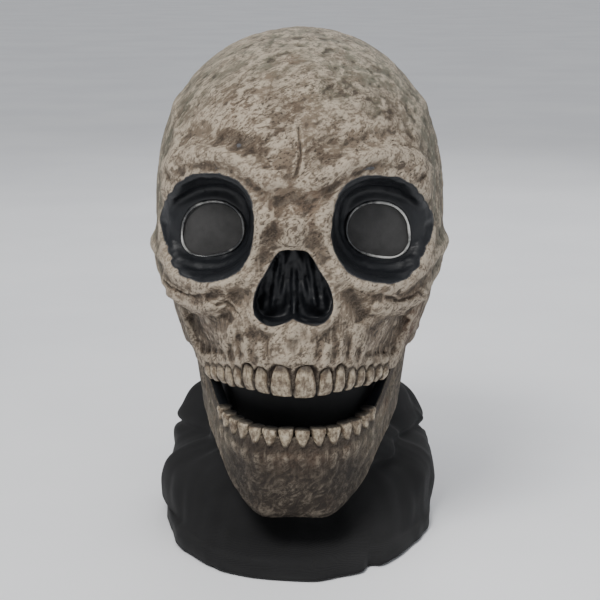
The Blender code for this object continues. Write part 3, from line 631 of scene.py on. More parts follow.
def set_points(mesh, points_mm):
    mesh.vertices.foreach_set("co", (points_mm * MM).astype(np.float32).ravel())
    mesh.update()


def normals_of(mesh):
    normals = np.empty(len(mesh.vertices) * 3, np.float32)
    mesh.vertex_normals.foreach_get("vector", normals)
    return normals.reshape(-1, 3).astype(float)


def push(mesh, points, height):
    """Puts the mesh's points at these places, moved along their normals by the height of each."""
    set_points(mesh, points + normals_of(mesh) * height[:, None])


def hold(mesh, keep, share, strength=1.0):
    """Moves the points back towards the kept places, by this share each."""
    moved = points_of(mesh)
    set_points(mesh, moved + (keep - moved) * share[:, None] * strength)


def set_value(mesh, name, values):
    attribute = mesh.attributes.new(name, "FLOAT", "POINT")
    attribute.data.foreach_set("value", np.asarray(values, np.float32))


def set_shares(mesh, values):
    for name, value in values.items():
        set_value(mesh, name, np.clip(value, 0, 1))


def modify(made, kind, **settings):
    """Applies one modifier with these settings, in place of the object's mesh."""
    change = made.modifiers.new(kind, kind)
    for name, value in settings.items():
        setattr(change, name, value)
    bpy.context.view_layer.update()
    evaluated = made.evaluated_get(bpy.context.evaluated_depsgraph_get())
    old = made.data
    made.data = bpy.data.meshes.new_from_object(evaluated)
    made.modifiers.clear()
    bpy.data.meshes.remove(old)


def thin_out(made, triangles):
    made.data.calc_loop_triangles()
    count = len(made.data.loop_triangles)
    if count > triangles:
        modify(made, "DECIMATE", ratio=triangles / count)
        made.data.shade_smooth()


def face_out(mesh, close=True):
    """Turns the faces outwards, and first fills the open ends of a tube or ring if it should close."""
    builder = bmesh.new()
    builder.from_mesh(mesh)
    open_edges = [edge for edge in builder.edges if len(edge.link_faces) == 1]
    if close and open_edges:
        made = bmesh.ops.holes_fill(builder, edges=open_edges, sides=0)
        bmesh.ops.triangulate(builder, faces=made["faces"])
    bmesh.ops.recalc_face_normals(builder, faces=builder.faces)
    builder.to_mesh(mesh)
    builder.free()
    mesh.shade_smooth()


def relax(mesh, points, times, keep=0.0):
    """Points moved to the average of their neighbours, this many times."""
    edges = np.empty(len(mesh.edges) * 2, np.int32)
    mesh.edges.foreach_get("vertices", edges)
    first, second = edges.reshape(-1, 2).T
    count = len(points)
    neighbours = np.bincount(first, minlength=count) + np.bincount(second, minlength=count)
    for _ in range(times):
        sums = [
            np.bincount(first, points[second, axis], count)
            + np.bincount(second, points[first, axis], count)
            for axis in range(3)
        ]
        total = np.stack(sums, axis=1)
        points = points * keep + (1 - keep) * total / np.maximum(neighbours, 1)[:, None]
    return points


CREASE_STEPS, HOLLOW_STEPS = 5, 30  # rounds of relaxing that tell small recesses from broad ones
CREASE_MM, HOLLOW_MM = 0.42, 1.1  # depths that count as full


def store_hollows(mesh, seed):
    """Values crease and hollow: above 0 in recesses and below 0 on ridges, small and broad ones."""
    points, normals = points_of(mesh), normals_of(mesh)
    close = relax(mesh, points, CREASE_STEPS)
    wide = relax(mesh, close, HOLLOW_STEPS)
    crease = ((close - points) * normals).sum(axis=1) / CREASE_MM - 1.8 * flake_height(points, seed)
    hollow = ((wide - points) * normals).sum(axis=1) / HOLLOW_MM
    set_value(mesh, "crease", np.clip(crease, -1, 1))
    set_value(mesh, "hollow", np.clip(hollow, -1, 1))


# ---------------------------------------------------------------- materials
class Paint:
    """A material under construction, with short calls for its nodes."""

    def __init__(self, name):
        self.material = bpy.data.materials.new(name)
        self.material.use_nodes = True
        self.tree = self.material.node_tree
        self.shader = self.tree.nodes["Principled BSDF"]
        self.place = self.node("ShaderNodeTexCoord").outputs["Object"]

    def node(self, kind, inputs=(), **settings):
        made = self.tree.nodes.new(kind)
        for name, value in settings.items():
            setattr(made, name, value)
        for name, value in dict(inputs).items():
            self.feed(made.inputs[name], value)
        return made

    def feed(self, socket, value):
        if isinstance(value, bpy.types.NodeSocket):
            self.tree.links.new(value, socket)
        elif isinstance(value, tuple) and len(value) == 3 and socket.type == "RGBA":
            socket.default_value = (*value, 1.0)
        else:
            socket.default_value = value

    def stretched(self, x, y, z):
        inputs = {"Vector": self.place, "Scale": (x, y, z)}
        return self.node("ShaderNodeMapping", inputs).outputs["Vector"]

    def slanting(self, long):
        """Places for a texture whose flecks run along a slant, this many times longer than wide."""
        made = self.node("ShaderNodeMapping", {"Vector": self.place}, vector_type="TEXTURE")
        made.inputs["Rotation"].default_value = (0.0, -SLANT, 0.0)
        made.inputs["Scale"].default_value = (long, 1.0, 1.0)
        return made.outputs["Vector"]

    def noise(self, scale, detail=4.0, rough=0.55, twist=0.0, place=None):
        inputs = {"Vector": place or self.place, "Scale": scale, "Detail": detail}
        inputs |= {"Roughness": rough, "Distortion": twist}
        return self.node("ShaderNodeTexNoise", inputs).outputs["Fac"]

    def cells(self, scale):
        inputs = {"Vector": self.place, "Scale": scale}
        return self.node("ShaderNodeTexVoronoi", inputs).outputs["Distance"]

    def value(self, name):
        return self.node("ShaderNodeAttribute", attribute_name=name).outputs["Fac"]

    def math(self, operation, first, second):
        made = self.node("ShaderNodeMath", operation=operation)
        self.feed(made.inputs[0], first)
        self.feed(made.inputs[1], second)
        return made.outputs["Value"]

    def plus(self, first, second):
        return self.math("ADD", first, second)

    def times(self, first, second):
        return self.math("MULTIPLY", first, second)

    def over(self, value, low, high, to_low=0.0, to_high=1.0):
        """The value eased from one range to another, and level outside it."""
        inputs = {"Value": value, "From Min": low, "From Max": high}
        inputs |= {"To Min": to_low, "To Max": to_high}
        made = self.node("ShaderNodeMapRange", inputs, interpolation_type="SMOOTHSTEP")
        return made.outputs["Result"]

    def mix(self, share, first, second):
        made = self.node("ShaderNodeMix", data_type="RGBA")
        for socket, given in (("Factor", share), (6, first), (7, second)):
            self.feed(made.inputs[socket], given)
        return made.outputs[2]

    def layered(self, colour, layers):
        """The colour under layers of paint, each with its share and its own colour."""
        for share, tint in layers:
            colour = self.mix(share, colour, tint)
        return colour

    def bump(self, height, distance, strength):
        inputs = {"Height": height, "Distance": distance, "Strength": strength}
        return self.node("ShaderNodeBump", inputs).outputs["Normal"]

    def finish(self, colour, roughness, normal=None, **plain):
        self.feed(self.shader.inputs["Base Color"], colour)
        self.feed(self.shader.inputs["Roughness"], roughness)
        if normal:
            self.feed(self.shader.inputs["Normal"], normal)
        for name, value in plain.items():
            self.shader.inputs[name.replace("_", " ")].default_value = value
        return self.material


def bone_paint():
    """Weathered bone: mottled base, chalky flakes, pits, dark recesses and dry brush on ridges, painted
    shade, and a grey-green tint that is partly painted shade.
    """
    paint = Paint("bone paint")
    over, plus, times = paint.over, paint.plus, paint.times
    crease, hollow, streaky = (paint.value(name) for name in ("crease", "hollow", "streaky"))
    broad = paint.noise(38, 5, 0.6, 0.6)
    flakes = paint.noise(210, 9, 0.74, 0.9, paint.slanting(1.7))
    specks = paint.noise(820, 7, 0.72, 0.3, paint.slanting(2.2))
    fibres = paint.noise(1000, 5, 0.7, 0.2, paint.slanting(3.0))
    streaks = paint.noise(1.0, 7, 0.7, 0.4, paint.stretched(380, 380, 52))
    grain = paint.noise(1500, 4, 0.6)
    calm = over(paint.noise(46, 3, 0.5), 0.40, 0.58)
    ragged = plus(over(flakes, 0.30, 0.70, -0.45, 0.45), over(specks, 0.30, 0.70, -0.40, 0.40))

    chalk = times(over(flakes, 0.485, 0.56), over(broad, 0.30, 0.60, 0.30, 1.0))
    chalk = times(chalk, over(streaky, 0.2, 1.0, 1.0, 0.45))
    chalk = times(chalk, over(specks, 0.40, 0.52, 0.15, 1.0))
    flecks = times(over(specks, 0.488, 0.39), over(calm, 0.0, 1.0, 0.30, 1.0))
    grooves = times(over(streaks, 0.50, 0.38), streaky)
    pale = times(over(streaks, 0.54, 0.62), streaky)
    rust = times(paint.value("rust"), over(paint.noise(110, 6, 0.65), 0.40, 0.62, 0.25, 1.0))
    # grey-green tint: painted shade on the sides, and random patches on the crown
    green_tint_and_side_shade = times(paint.value("green_tint_and_side_shade"), over(paint.noise(90, 5, 0.6), 0.36, 0.60, 0.25, 0.85))
    recess = over(plus(hollow, ragged), 0.20, 1.10, 0.0, 0.62)
    cut = over(plus(crease, times(ragged, 0.9)), 0.30, 1.2, 0.0, 0.80)
    ridge = paint.math("MAXIMUM", over(hollow, -0.10, -0.9), over(crease, -0.10, -0.8, 0.0, 0.9))
    ridge = times(ridge, over(ragged, -0.25, 0.15, 0.1, 0.85))
    stain = times(paint.value("stain"), over(specks, 0.40, 0.66, 0.95, 0.6))
    # painted shade: darker low on the sides, towards the back and under the jaw
    painted_shade = times(paint.value("painted_shade"), over(flakes, 0.35, 0.65, 1.0, 0.72))
    thick = plus(paint.value("black"), over(specks, 0.3, 0.7, -0.14, 0.14))
    black = over(thick, 0.35, 0.80)
    layers = (
        (chalk, BONE_PALE),
        (flecks, WASH),
        (over(grain, 0.42, 0.30, 0.0, 0.55), WASH),
        (times(grooves, 0.75), WASH),
        (times(pale, 0.65), BONE_PALE),
        (rust, RUST),
        (green_tint_and_side_shade, GREEN_TINT_AND_SHADE),
        (recess, WASH),
        (cut, WASH),
        (over(fibres, 0.49, 0.62, 0.0, 0.38), BONE),
        (ridge, BONE_PALE),
        (stain, WASH),
        (painted_shade, SHADE_BROWN),
        (over(thick, 0.10, 0.42), THIN_BLACK),
        (black, BLACK_PAINT),
    )
    colour = paint.layered(paint.mix(over(broad, 0.34, 0.64), BONE_DEEP, BONE), layers)
    relief = plus(plus(flakes, times(specks, 0.7)), times(grain, 0.15))
    relief = plus(relief, times(times(streaks, streaky), 0.9))
    relief = times(relief, over(black, 0.0, 1.0, 1.0, 0.12))
    roughness = over(black, 0.0, 1.0, 0.74, 0.46)
    return paint.finish(colour, roughness, paint.bump(relief, 0.0020, 0.85), Specular_IOR_Level=0.35)


def tooth_paint():
    """Stained enamel, dark at the gum and between the teeth."""
    paint = Paint("tooth paint")
    over, times = paint.over, paint.times
    streaks = paint.noise(1.0, 6, 0.7, 0.3, paint.stretched(700, 700, 110))
    mottle = paint.noise(260, 6, 0.65)
    layers = (
        (times(over(streaks, 0.49, 0.38), 0.85), TOOTH_STAIN),
        (over(paint.noise(900, 5, 0.7), 0.42, 0.34, 0.0, 0.8), WASH),
        (times(over(mottle, 0.56, 0.70), 0.7), BONE_PALE),
        (times(over(paint.value("gum"), 0.70, 1.0), 0.85), WASH),
        (times(over(paint.value("side"), 0.66, 1.0), 0.85), WASH),
        (paint.value("black"), BLACK_PAINT),
    )
    colour = paint.layered(paint.mix(over(mottle, 0.36, 0.62), TOOTH_STAIN, TOOTH), layers)
    relief = paint.plus(streaks, times(mottle, 0.5))
    return paint.finish(colour, 0.55, paint.bump(relief, 0.0010, 0.6), Specular_IOR_Level=0.45)


def cloth_paint():
    """Smooth black knit: a fine weave, a little sheen and faint uneven dye."""
    paint = Paint("black knit")
    thread = paint.noise(2400, 2, 0.5)
    wave = {"Vector": paint.place, "Scale": 900.0, "Distortion": 1.5}
    rows = paint.node("ShaderNodeTexWave", wave, bands_direction="Z").outputs["Fac"]
    colour = paint.mix(paint.over(paint.noise(30, 4, 0.6), 0.3, 0.7), srgb(14, 14, 15), CLOTH)
    colour = paint.mix(paint.over(thread, 0.45, 0.75, 0.0, 0.35), colour, srgb(34, 34, 36))
    bump = paint.bump(paint.plus(thread, paint.times(rows, 0.6)), 0.0003, 0.5)
    plain = {"Specular_IOR_Level": 0.3, "Sheen_Weight": 0.05, "Sheen_Roughness": 0.5}
    return paint.finish(colour, 0.80, bump, **plain)


def woven(name, colour, light, scale, distance, roughness):
    """Plain weave: two sets of bands at right angles, one over the other, with a painted highlight on their
    crests.
    """
    paint = Paint(name)
    bands = []
    for direction in ("X", "Z"):
        inputs = {"Vector": paint.place, "Scale": scale}
        wave = paint.node("ShaderNodeTexWave", inputs, bands_direction=direction)
        bands.append(wave.outputs["Fac"])
    height = paint.math("MAXIMUM", *bands)
    # the crests of the bands take the lighter colour: painted highlight on the threads
    tone = paint.mix(paint.over(height, 0.35, 0.95), colour, light)
    tone = paint.mix(paint.over(paint.noise(120, 4), 0.35, 0.7, 0.0, 0.4), tone, colour)
    return paint.finish(tone, roughness, paint.bump(height, distance, 0.8))


def foam_paint():
    paint = Paint("grey foam")
    pores = paint.cells(1300)
    # darker in the pits of the pores: painted shade
    colour = paint.mix(paint.over(pores, 0.15, 0.55), srgb(52, 52, 54), srgb(96, 96, 98))
    colour = paint.mix(paint.over(paint.noise(60, 4), 0.35, 0.7, 0.0, 0.4), colour, srgb(70, 70, 72))
    return paint.finish(colour, 0.95, paint.bump(pores, 0.0005, 0.8))


def hard_paint(name, colour, wear_and_glint, roughness, metallic=0.0, scale=500):
    """Painted metal, nylon, rubber or glue, with wear and an uneven surface; on the clear glue the paler
    tone is a painted glint.
    """
    paint = Paint(name)
    marks = paint.noise(scale, 6, 0.65)
    # the paler tone is wear on metal, nylon and rubber, and a painted glint on the clear glue
    tone = paint.mix(paint.over(marks, 0.45, 0.68), colour, wear_and_glint)
    rough = paint.over(marks, 0.3, 0.7, roughness - 0.08, roughness + 0.10)
    return paint.finish(tone, rough, paint.bump(marks, 0.0002, 0.4), Metallic=metallic)


def give(made, material):
    made.data.materials.clear()
    made.data.materials.append(material)


# ---------------------------------------------------------------- skull
def paint_values(mesh, points, inner):
    """Where the paint is black, rusty, grey-green, streaky or stained, and where painted shade darkens it,
    from each point's place; the grey-green on the sides is painted shade too.
    """
    x, y, z = np.abs(points[:, 0]), points[:, 1], points[:, 2]
    wander = fractal_noise(points, 22, 11)
    wall, deep = socket_distance(x, y, z)
    across, _, up = socket_place(x, y, z)
    sunk = y - front_y(x, z)
    front_half = ease(60, 0, y)
    outer_side = 6.5 * ease(2, 28, across) * bell(up / 20)
    in_socket = ease(3.4, 0.8, wall + 0.8 * wander - outer_side)
    in_socket = in_socket * ease(-6.0, -2.0, deep + 1.5 * wander) * front_half
    in_nose = ease(1.2, -0.4, nose_distance(x, z) + 0.6 * wander)
    in_nose = in_nose * ease(-1.0, 1.5, sunk + 4.5) * front_half
    lip = inner * ease(0, 8, points[:, 0]) * ease(117, 111, z) * ease(-40, -60, y)
    black = np.maximum.reduce([in_socket, in_nose, inner]) - 0.8 * lip
    between_brows = bell((x - 9) / 14, (z - 222) / 12)
    cheek = bell((points[:, 0] - 72) / 9, (z - 130) / 20)
    rust = 0.35 * between_brows + 0.95 * cheek * ease(-0.6, 0.4, wander + 0.5)
    rust += 0.30 * ease(0.25, 0.8, fractal_noise(points, 30, 23)) + lip
    # grey-green tint on the sides of the head is painted shade; the patches on the crown are a random tint
    green_tint_and_side_shade = ease(-75, -40, y) * ease(120, 200, z) * ease(60, 0, y) * 0.85
    green_tint_and_side_shade = green_tint_and_side_shade + 0.45 * ease(0.2, 0.7, fractal_noise(points, 36, 31)) * ease(200, 260, z)
    # painted shade: darker low on the sides behind the face, and towards the back
    painted_shade = 0.55 * ease(-60, -10, y) * ease(175, 120, z) + 0.30 * ease(-20, 80, y)
    beside_nose = bell((x - 24) / 9, (z - 190) / 16)
    streaky = ease(168, 142, z) * ease(20, -10, y) + 0.8 * beside_nose * ease(-60, -75, y)
    stain = gum_stain(x, z) * ease(-10, -25, y) * ease(6.5, 3.0, sunk)
    found = {"black": black, "rust": rust, "green_tint_and_side_shade": green_tint_and_side_shade, "painted_shade": painted_shade, "streaky": streaky}
    set_shares(mesh, found | {"stain": stain})


def sample(field, axes, points):
    """Value of the half grid's field at each point, between the grid's places."""
    cells, parts = [], []
    for values, places in zip((np.abs(points[:, 0]), points[:, 1], points[:, 2]), axes):
        cell = np.clip(np.searchsorted(places, values, side="right") - 1, 0, len(places) - 2)
        cells.append(cell)
        step = places[cell + 1] - places[cell]
        parts.append(np.clip((values - places[cell]) / step, 0, 1))
    total = np.zeros(len(points))
    for corner in np.ndindex(2, 2, 2):
        weight = np.ones(len(points))
        for axis in range(3):
            weight *= parts[axis] if corner[axis] else 1 - parts[axis]
        total += weight * field[tuple(cells[axis] + corner[axis] for axis in range(3))]
    return total


def slanted(points):
    """Places in axes that shorten one diagonal, so that noise over them runs in slanting flecks."""
    cos, sin = math.cos(SLANT), math.sin(SLANT)
    x, y, z = points.T
    return np.stack([0.45 * (x * cos + z * sin), 0.7 * y, z * cos - x * sin], axis=1)


def flake_height(points, seed):
    """Chalky flakes that stand up and small pits between them."""
    flakes = fractal_noise(slanted(points), 6, seed + 7, 3, 0.6)
    pits = fractal_noise(slanted(points), 2.8, seed + 13, 2)
    return 0.20 * np.tanh(3 * flakes) - 0.20 * ease(0.25, 0.75, pits)


def roughen(mesh, amount, seed):
    """Moves the points along their normals by noise: lumps, flakes and pits."""
    points = points_of(mesh)
    height = 0.30 * fractal_noise(points, 24, seed, 3) + flake_height(points, seed)
    push(mesh, points, height * amount)


CRACK_WIDE, CRACK_DEEP = 0.9, 1.1


def cut_cracks(mesh, lines):
    """Ragged cracks along lines seen from the front, with a raised lip."""
    points = points_of(mesh)
    wander = fractal_noise(points, 9, 77, 3)
    forward = ease(0, 0.3, -normals_of(mesh)[:, 1])
    height = np.zeros(len(points))
    for line in lines:
        distance, along = line_distance(points[:, 0], points[:, 2] + 2.2 * wander, line)
        fade = ease(0, 0.15, along) * ease(0, 0.15, 1 - along) * forward
        height -= CRACK_DEEP * fade * bell(distance / CRACK_WIDE)
        lip = (distance - 2.2 * CRACK_WIDE) / CRACK_WIDE
        height += 0.5 * CRACK_DEEP * fade * bell(lip)
    push(mesh, points, height)


# lines of cracks over the whole face, seen from the front: (x, z)
CRACKS = (
    ((-84, 166), (-72, 163), (-62, 161), (-52, 165)),
    ((50, 165), (60, 159), (70, 161), (84, 154)),
    ((58, 152), (70, 150), (80, 156)),
    ((-30, 152), (-38, 160), (-46, 158)),
    ((2, 262), (4, 246), (1, 232)),
)


def inner_share(soft, axes, points):
    """1 on the inner face of the latex and 0 on its outside."""
    return ease(1.8, 2.5, -sample(soft, axes, points))


def build_skull(paint):
    axes = grid_axes()
    shell, soft = shell_field(axes)
    mirror = slice(None, 2, -1)
    whole_x = np.concatenate([-axes[0][mirror], axes[0][2:]])
    whole = np.concatenate([shell[mirror], shell[2:]], axis=0)
    skull = mesh_from("skull", *surface_of(whole, (whole_x, axes[1], axes[2])))
    mesh = skull.data
    set_points(mesh, relax(mesh, points_of(mesh), 3, keep=0.4))
    keep = points_of(mesh)
    x, y, z = np.abs(keep[:, 0]), keep[:, 1], keep[:, 2]
    wall, deep = socket_distance(x, y, z)
    in_socket = ease(0.5, -2.0, wall) * ease(0, 3, deep) * ease(60, 0, y)
    by_hinge = ease(14, 9, np.hypot(y - HINGE_Y, z - HINGE_Z)) * ease(60, 70, x)
    smooth = np.maximum.reduce([inner_share(soft, axes, keep), in_socket, by_hinge])
    roughen(mesh, 1.5, SKULL_SEED)
    cut_cracks(mesh, CRACKS)
    hold(mesh, keep, smooth, 0.9)
    thin_out(skull, MOST_TRIANGLES)
    mesh = skull.data
    points = points_of(mesh)
    store_hollows(mesh, SKULL_SEED)
    paint_values(mesh, points, inner_share(soft, axes, points))
    give(skull, paint)
    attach(skull, "skull")
    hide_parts("skull_shell")


# ---------------------------------------------------------------- jaw
# (share of the way from the chin to the end of the arm, x, y, z) of the jaw's upper and lower edges
JAW_TOP = (
    (0.0, 0.0, -92.5, 80.5), (0.18, 24.0, -85.5, 80.5), (0.36, 41.0, -65.5, 82.5),
    (0.52, 49.6, -43.5, 89.5), (0.66, 57.6, -24.0, 106.4), (0.80, 69.4, -6.0, 140.0),
    (0.90, 73.0, -3.0, 165.0), (1.0, 73.0, 4.0, 177.5),
)
JAW_BOTTOM = (
    (0.0, 0.0, -84.0, 30.5), (0.18, 22.0, -79.0, 30.5), (0.36, 39.0, -53.0, 41.0),
    (0.52, 49.0, -31.0, 56.0), (0.66, 57.0, -10.0, 68.0), (0.80, 64.0, 13.0, 87.0),
    (0.90, 73.0, 23.0, 153.0), (1.0, 73.0, 16.0, 177.5),
)
JAW_WALL = 3.0
JAW_BULGE = 5.0
JAW_MOST_X = 73.0
BODY_SHARE = 0.66  # of the way from the chin to the end of the arm: where the teeth end
EDGE_STEPS = 5  # points on each rounded edge between the jaw's outside and its inside
TOP_ROUND, BOTTOM_ROUND = 0.15, 0.5  # how full those edges are
# (width, height) from the middle outwards
LOWER_TEETH = ((9.2, 10.6), (9.0, 10.4), (9.0, 10.4), (8.8, 9.8), (8.6, 9.6), (8.4, 9.0), (8.2, 8.4))
LOWER_GAP = 0.5
LOWER_EDGE_Z = 85.6


def edge_line(rows, share):
    """Points on a smooth line through mirrored (share, x, y, z) rows."""
    found = []
    for axis in (1, 2, 3):
        mirror = -1 if axis == 1 else 1
        table = [(-rows[1][0], mirror * rows[1][axis])] + [(row[0], row[axis]) for row in rows]
        found.append(between(table, np.abs(share), level_ends=False))
    return np.stack(found, axis=-1)


def jaw_surface(around, down):
    """Outside of the jaw: around -1 to 1 from arm to arm, down 0 at the upper edge and 1 below."""
    top, bottom = edge_line(JAW_TOP, around), edge_line(JAW_BOTTOM, around)
    here = top + (bottom - top) * down[..., None]
    outward = here - np.array([0.0, HINGE_Y, 0.0])
    outward[..., 2] = 0
    outward /= np.linalg.norm(outward, axis=-1, keepdims=True)
    body = np.clip(1 - np.abs(around) / 0.7, 0, 1)
    bulge = JAW_BULGE * body * (np.sin(math.pi * down) - 1.3 * (1 - down) * down)
    here = here + outward * bulge[..., None]
    here[..., 0] = np.minimum(here[..., 0], JAW_MOST_X) * np.where(around < 0, -1, 1)
    return here


def jaw_frame(around, down):
    """Place, outward direction and downward direction on the jaw's surface."""
    step = 0.004
    low, high = np.clip(around - step, -1, 1), np.clip(around + step, -1, 1)
    across = jaw_surface(high, down) - jaw_surface(low, down)
    above, below = np.clip(down - step, 0, 1), np.clip(down + step, 0, 1)
    fall = jaw_surface(around, below) - jaw_surface(around, above)
    out = np.cross(fall, across)
    out /= np.linalg.norm(out, axis=-1, keepdims=True)
    return jaw_surface(around, down), out, fall / np.linalg.norm(fall, axis=-1, keepdims=True)


def lower_plan(steps):
    """Shares of the way to the end of the lower teeth, and the places of the jaw's upper edge there."""
    share = np.linspace(0, BODY_SHARE, steps)
    return share, edge_line(JAW_TOP, share)


def lower_shares():
    """The share of the way along the jaw where each lower tooth stands."""
    share, line = lower_plan(500)
    return np.interp(tooth_middles(LOWER_TEETH, LOWER_GAP), arc_lengths(line[:, :2]), share)


def jaw_relief(around, down, shares):
    """How far the jaw's outside stands out: chin, roots of the teeth and rolled lower border."""
    side = np.abs(around)
    total = 2.4 * bell(side / 0.12, (down - 0.80) / 0.20)
    total += 1.6 * bell((side - 0.15) / 0.06, (down - 0.92) / 0.10)
    total -= 1.6 * bell(side / 0.30, (down - 0.42) / 0.12)
    total += 0.9 * bell((down - 0.95) / 0.06)
    line = (down - 0.55 + 0.5 * (side - 0.3)) / 0.10
    total += 1.4 * bell(line) * ease(0.28, 0.42, side)
    for share in shares:
        root = bell((side - share) / 0.022)
        total += 1.5 * root * ease(0.16, 0.26, down) * ease(0.50, 0.28, down)
    return total * ease(0.80, BODY_SHARE, side)


def rounded_edge(first, last, fall, rise):
    """Points on the half round between two lines of points, from the first to the last."""
    middle, half = (first + last) / 2, np.linalg.norm(first - last, axis=1, keepdims=True) / 2
    turns = [math.pi * part / (EDGE_STEPS + 1) for part in range(1, EDGE_STEPS + 1)]
    arc = [middle + (first - middle) * math.cos(t) + fall * half * rise * math.sin(t) for t in turns]
    return np.stack(arc, axis=1)


def build_jaw(paint):
    fine = 1.0
    columns, outer, inner = int(360 * fine), int(110 * fine), int(40 * fine)
    around = np.linspace(-1, 1, columns)[:, None]
    down = np.concatenate([np.linspace(0, 1, outer), np.linspace(1, 0, inner)])[None, :]
    around, down = np.broadcast_arrays(around, down)
    place, out, fall = jaw_frame(around, down)
    gum = bell(down / 0.10) * ease(0.72, 0.55, np.abs(around))
    outside = np.arange(outer + inner) < outer
    depth = np.where(outside, 0.0, JAW_WALL + 4.0 * gum)
    relief = np.where(outside, jaw_relief(around, down, lower_shares()), 0.0)
    points = place + out * (relief - depth)[..., None]
    below = rounded_edge(points[:, outer - 1], points[:, outer], fall[:, outer - 1], BOTTOM_ROUND)
    above = rounded_edge(points[:, -1], points[:, 0], -fall[:, outer + inner - 1], TOP_ROUND)
    loop = np.concatenate([points[:, :outer], below, points[:, outer:], above], axis=1)
    count = loop.shape[1]
    inside = np.zeros(count)
    inside[outer + 2 : -1] = 1
    quads = tube_quads(np.arange(columns * count).reshape(columns, count)).reshape(-1, 4)
    jaw = mesh_from("jaw", loop.reshape(-1, 3), quads)
    mesh = jaw.data
    face_out(mesh)
    keep = points_of(mesh)
    x, y, z = np.abs(keep[:, 0]), keep[:, 1], keep[:, 2]
    black = np.tile(inside, columns)
    roughen(mesh, 0.9, JAW_SEED)
    hold(mesh, keep, np.maximum(black, ease(60, 70, np.abs(loop[..., 0].ravel()))))
    store_hollows(mesh, JAW_SEED)
    level, edge = down[0], np.ones(EDGE_STEPS)
    depth_down = np.tile(np.concatenate([level[:outer], edge, level[outer:], 0 * edge]), columns)
    teeth_end = ease(0.74, BODY_SHARE, np.repeat(np.abs(around[:, 0]), count))
    wander = fractal_noise(keep, 20, 91)
    on_chin = bell((z - 66) / 10) * ease(26, 6, x)
    # painted shade: the jaw a little darker all over, and more under the chin and towards the back
    painted_shade = 0.25 + 0.75 * ease(80, 54, z + 4 * wander) * ease(56, 36, x) + 0.35 * ease(-40, 0, y)
    values = {
        "black": black,
        "rust": 0.35 * ease(0.2, 0.8, wander) + 0.5 * on_chin,
        # grey-green tint low on the jaw's sides: painted shade
        "green_tint_and_side_shade": 0.45 * ease(28, 46, x) * ease(120, 70, z),
        "painted_shade": painted_shade,
        "streaky": ease(40, 62, z),
        "stain": 0.9 * ease(0.25, 0.13, depth_down + 0.03 * wander) * teeth_end * (1 - black),
    }
    set_shares(mesh, values)
    give(jaw, paint)
    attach(jaw, "jaw")
    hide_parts("jaw_shell")


# ---------------------------------------------------------------- teeth
# One entry per row of teeth. Shares go from the root at 0 to the edge at 1. "up" is 1 where the root
# is above the edge, "front" is how far a tooth stands out of its line, "dark" blackens its edge.
UPPER_SHAPE = {
    "width": ((0, 0.38), (0.14, 0.60), (0.40, 0.80), (0.72, 0.97), (0.92, 1.0), (1, 0.86)),
    "depth": ((0, 0.95), (0.5, 0.86), (0.85, 0.60), (1, 0.34)),
    "belly": 0.8,
    "up": 1,
    "thick": 6.4,
    "front": 1.5,
    "dark": 0.0,
}
LOWER_SHAPE = {
    "width": ((0, 0.34), (0.3, 0.62), (0.65, 0.88), (0.90, 1.0), (1, 0.97)),
    "depth": ((0, 0.95), (0.5, 0.95), (0.9, 1.0), (1, 0.88)),
    "belly": 0.3,
    "up": -1,
    "thick": 8.6,
    "front": 2.3,
    "dark": 0.75,
}
TOOTH_ROUND = 22
TOOTH_RINGS = 15
TOOTH_POWER = 2.9  # of a tooth's outline seen from above


def tooth_points(width, height, shape, rng):
    """Rings of points from a tooth's root to its edge, in its axes across, out and up, and their shares."""
    width *= rng.uniform(0.92, 1.05)
    height *= rng.uniform(0.94, 1.05)
    lean = rng.uniform(-0.07, 0.07)
    turn = np.linspace(0, math.tau, TOOTH_ROUND, endpoint=False)
    share = (1 - (1 - np.linspace(0, 1, TOOTH_RINGS)) ** 1.4)[:, None]
    wide = between(shape["width"], share) * width / 2
    deep = between(shape["depth"], share) * shape["thick"] / 2
    across, out = (
        np.sign(part) * np.abs(part) ** (2 / TOOTH_POWER) * reach
        for part, reach in ((np.cos(turn), wide), (np.sin(turn), deep))
    )
    out = out + (shape["belly"] * np.sin(math.pi * share) - (shape["thick"] / 2 - deep) * 0.35)
    crown = 0.5 * bell(np.abs(across) / (0.5 * wide)) * (share > 0.9)
    rise = -shape["up"] * (share * height + crown * 0.6) + across * lean
    return np.stack([across, out, rise], axis=-1), np.broadcast_to(share, across.shape)


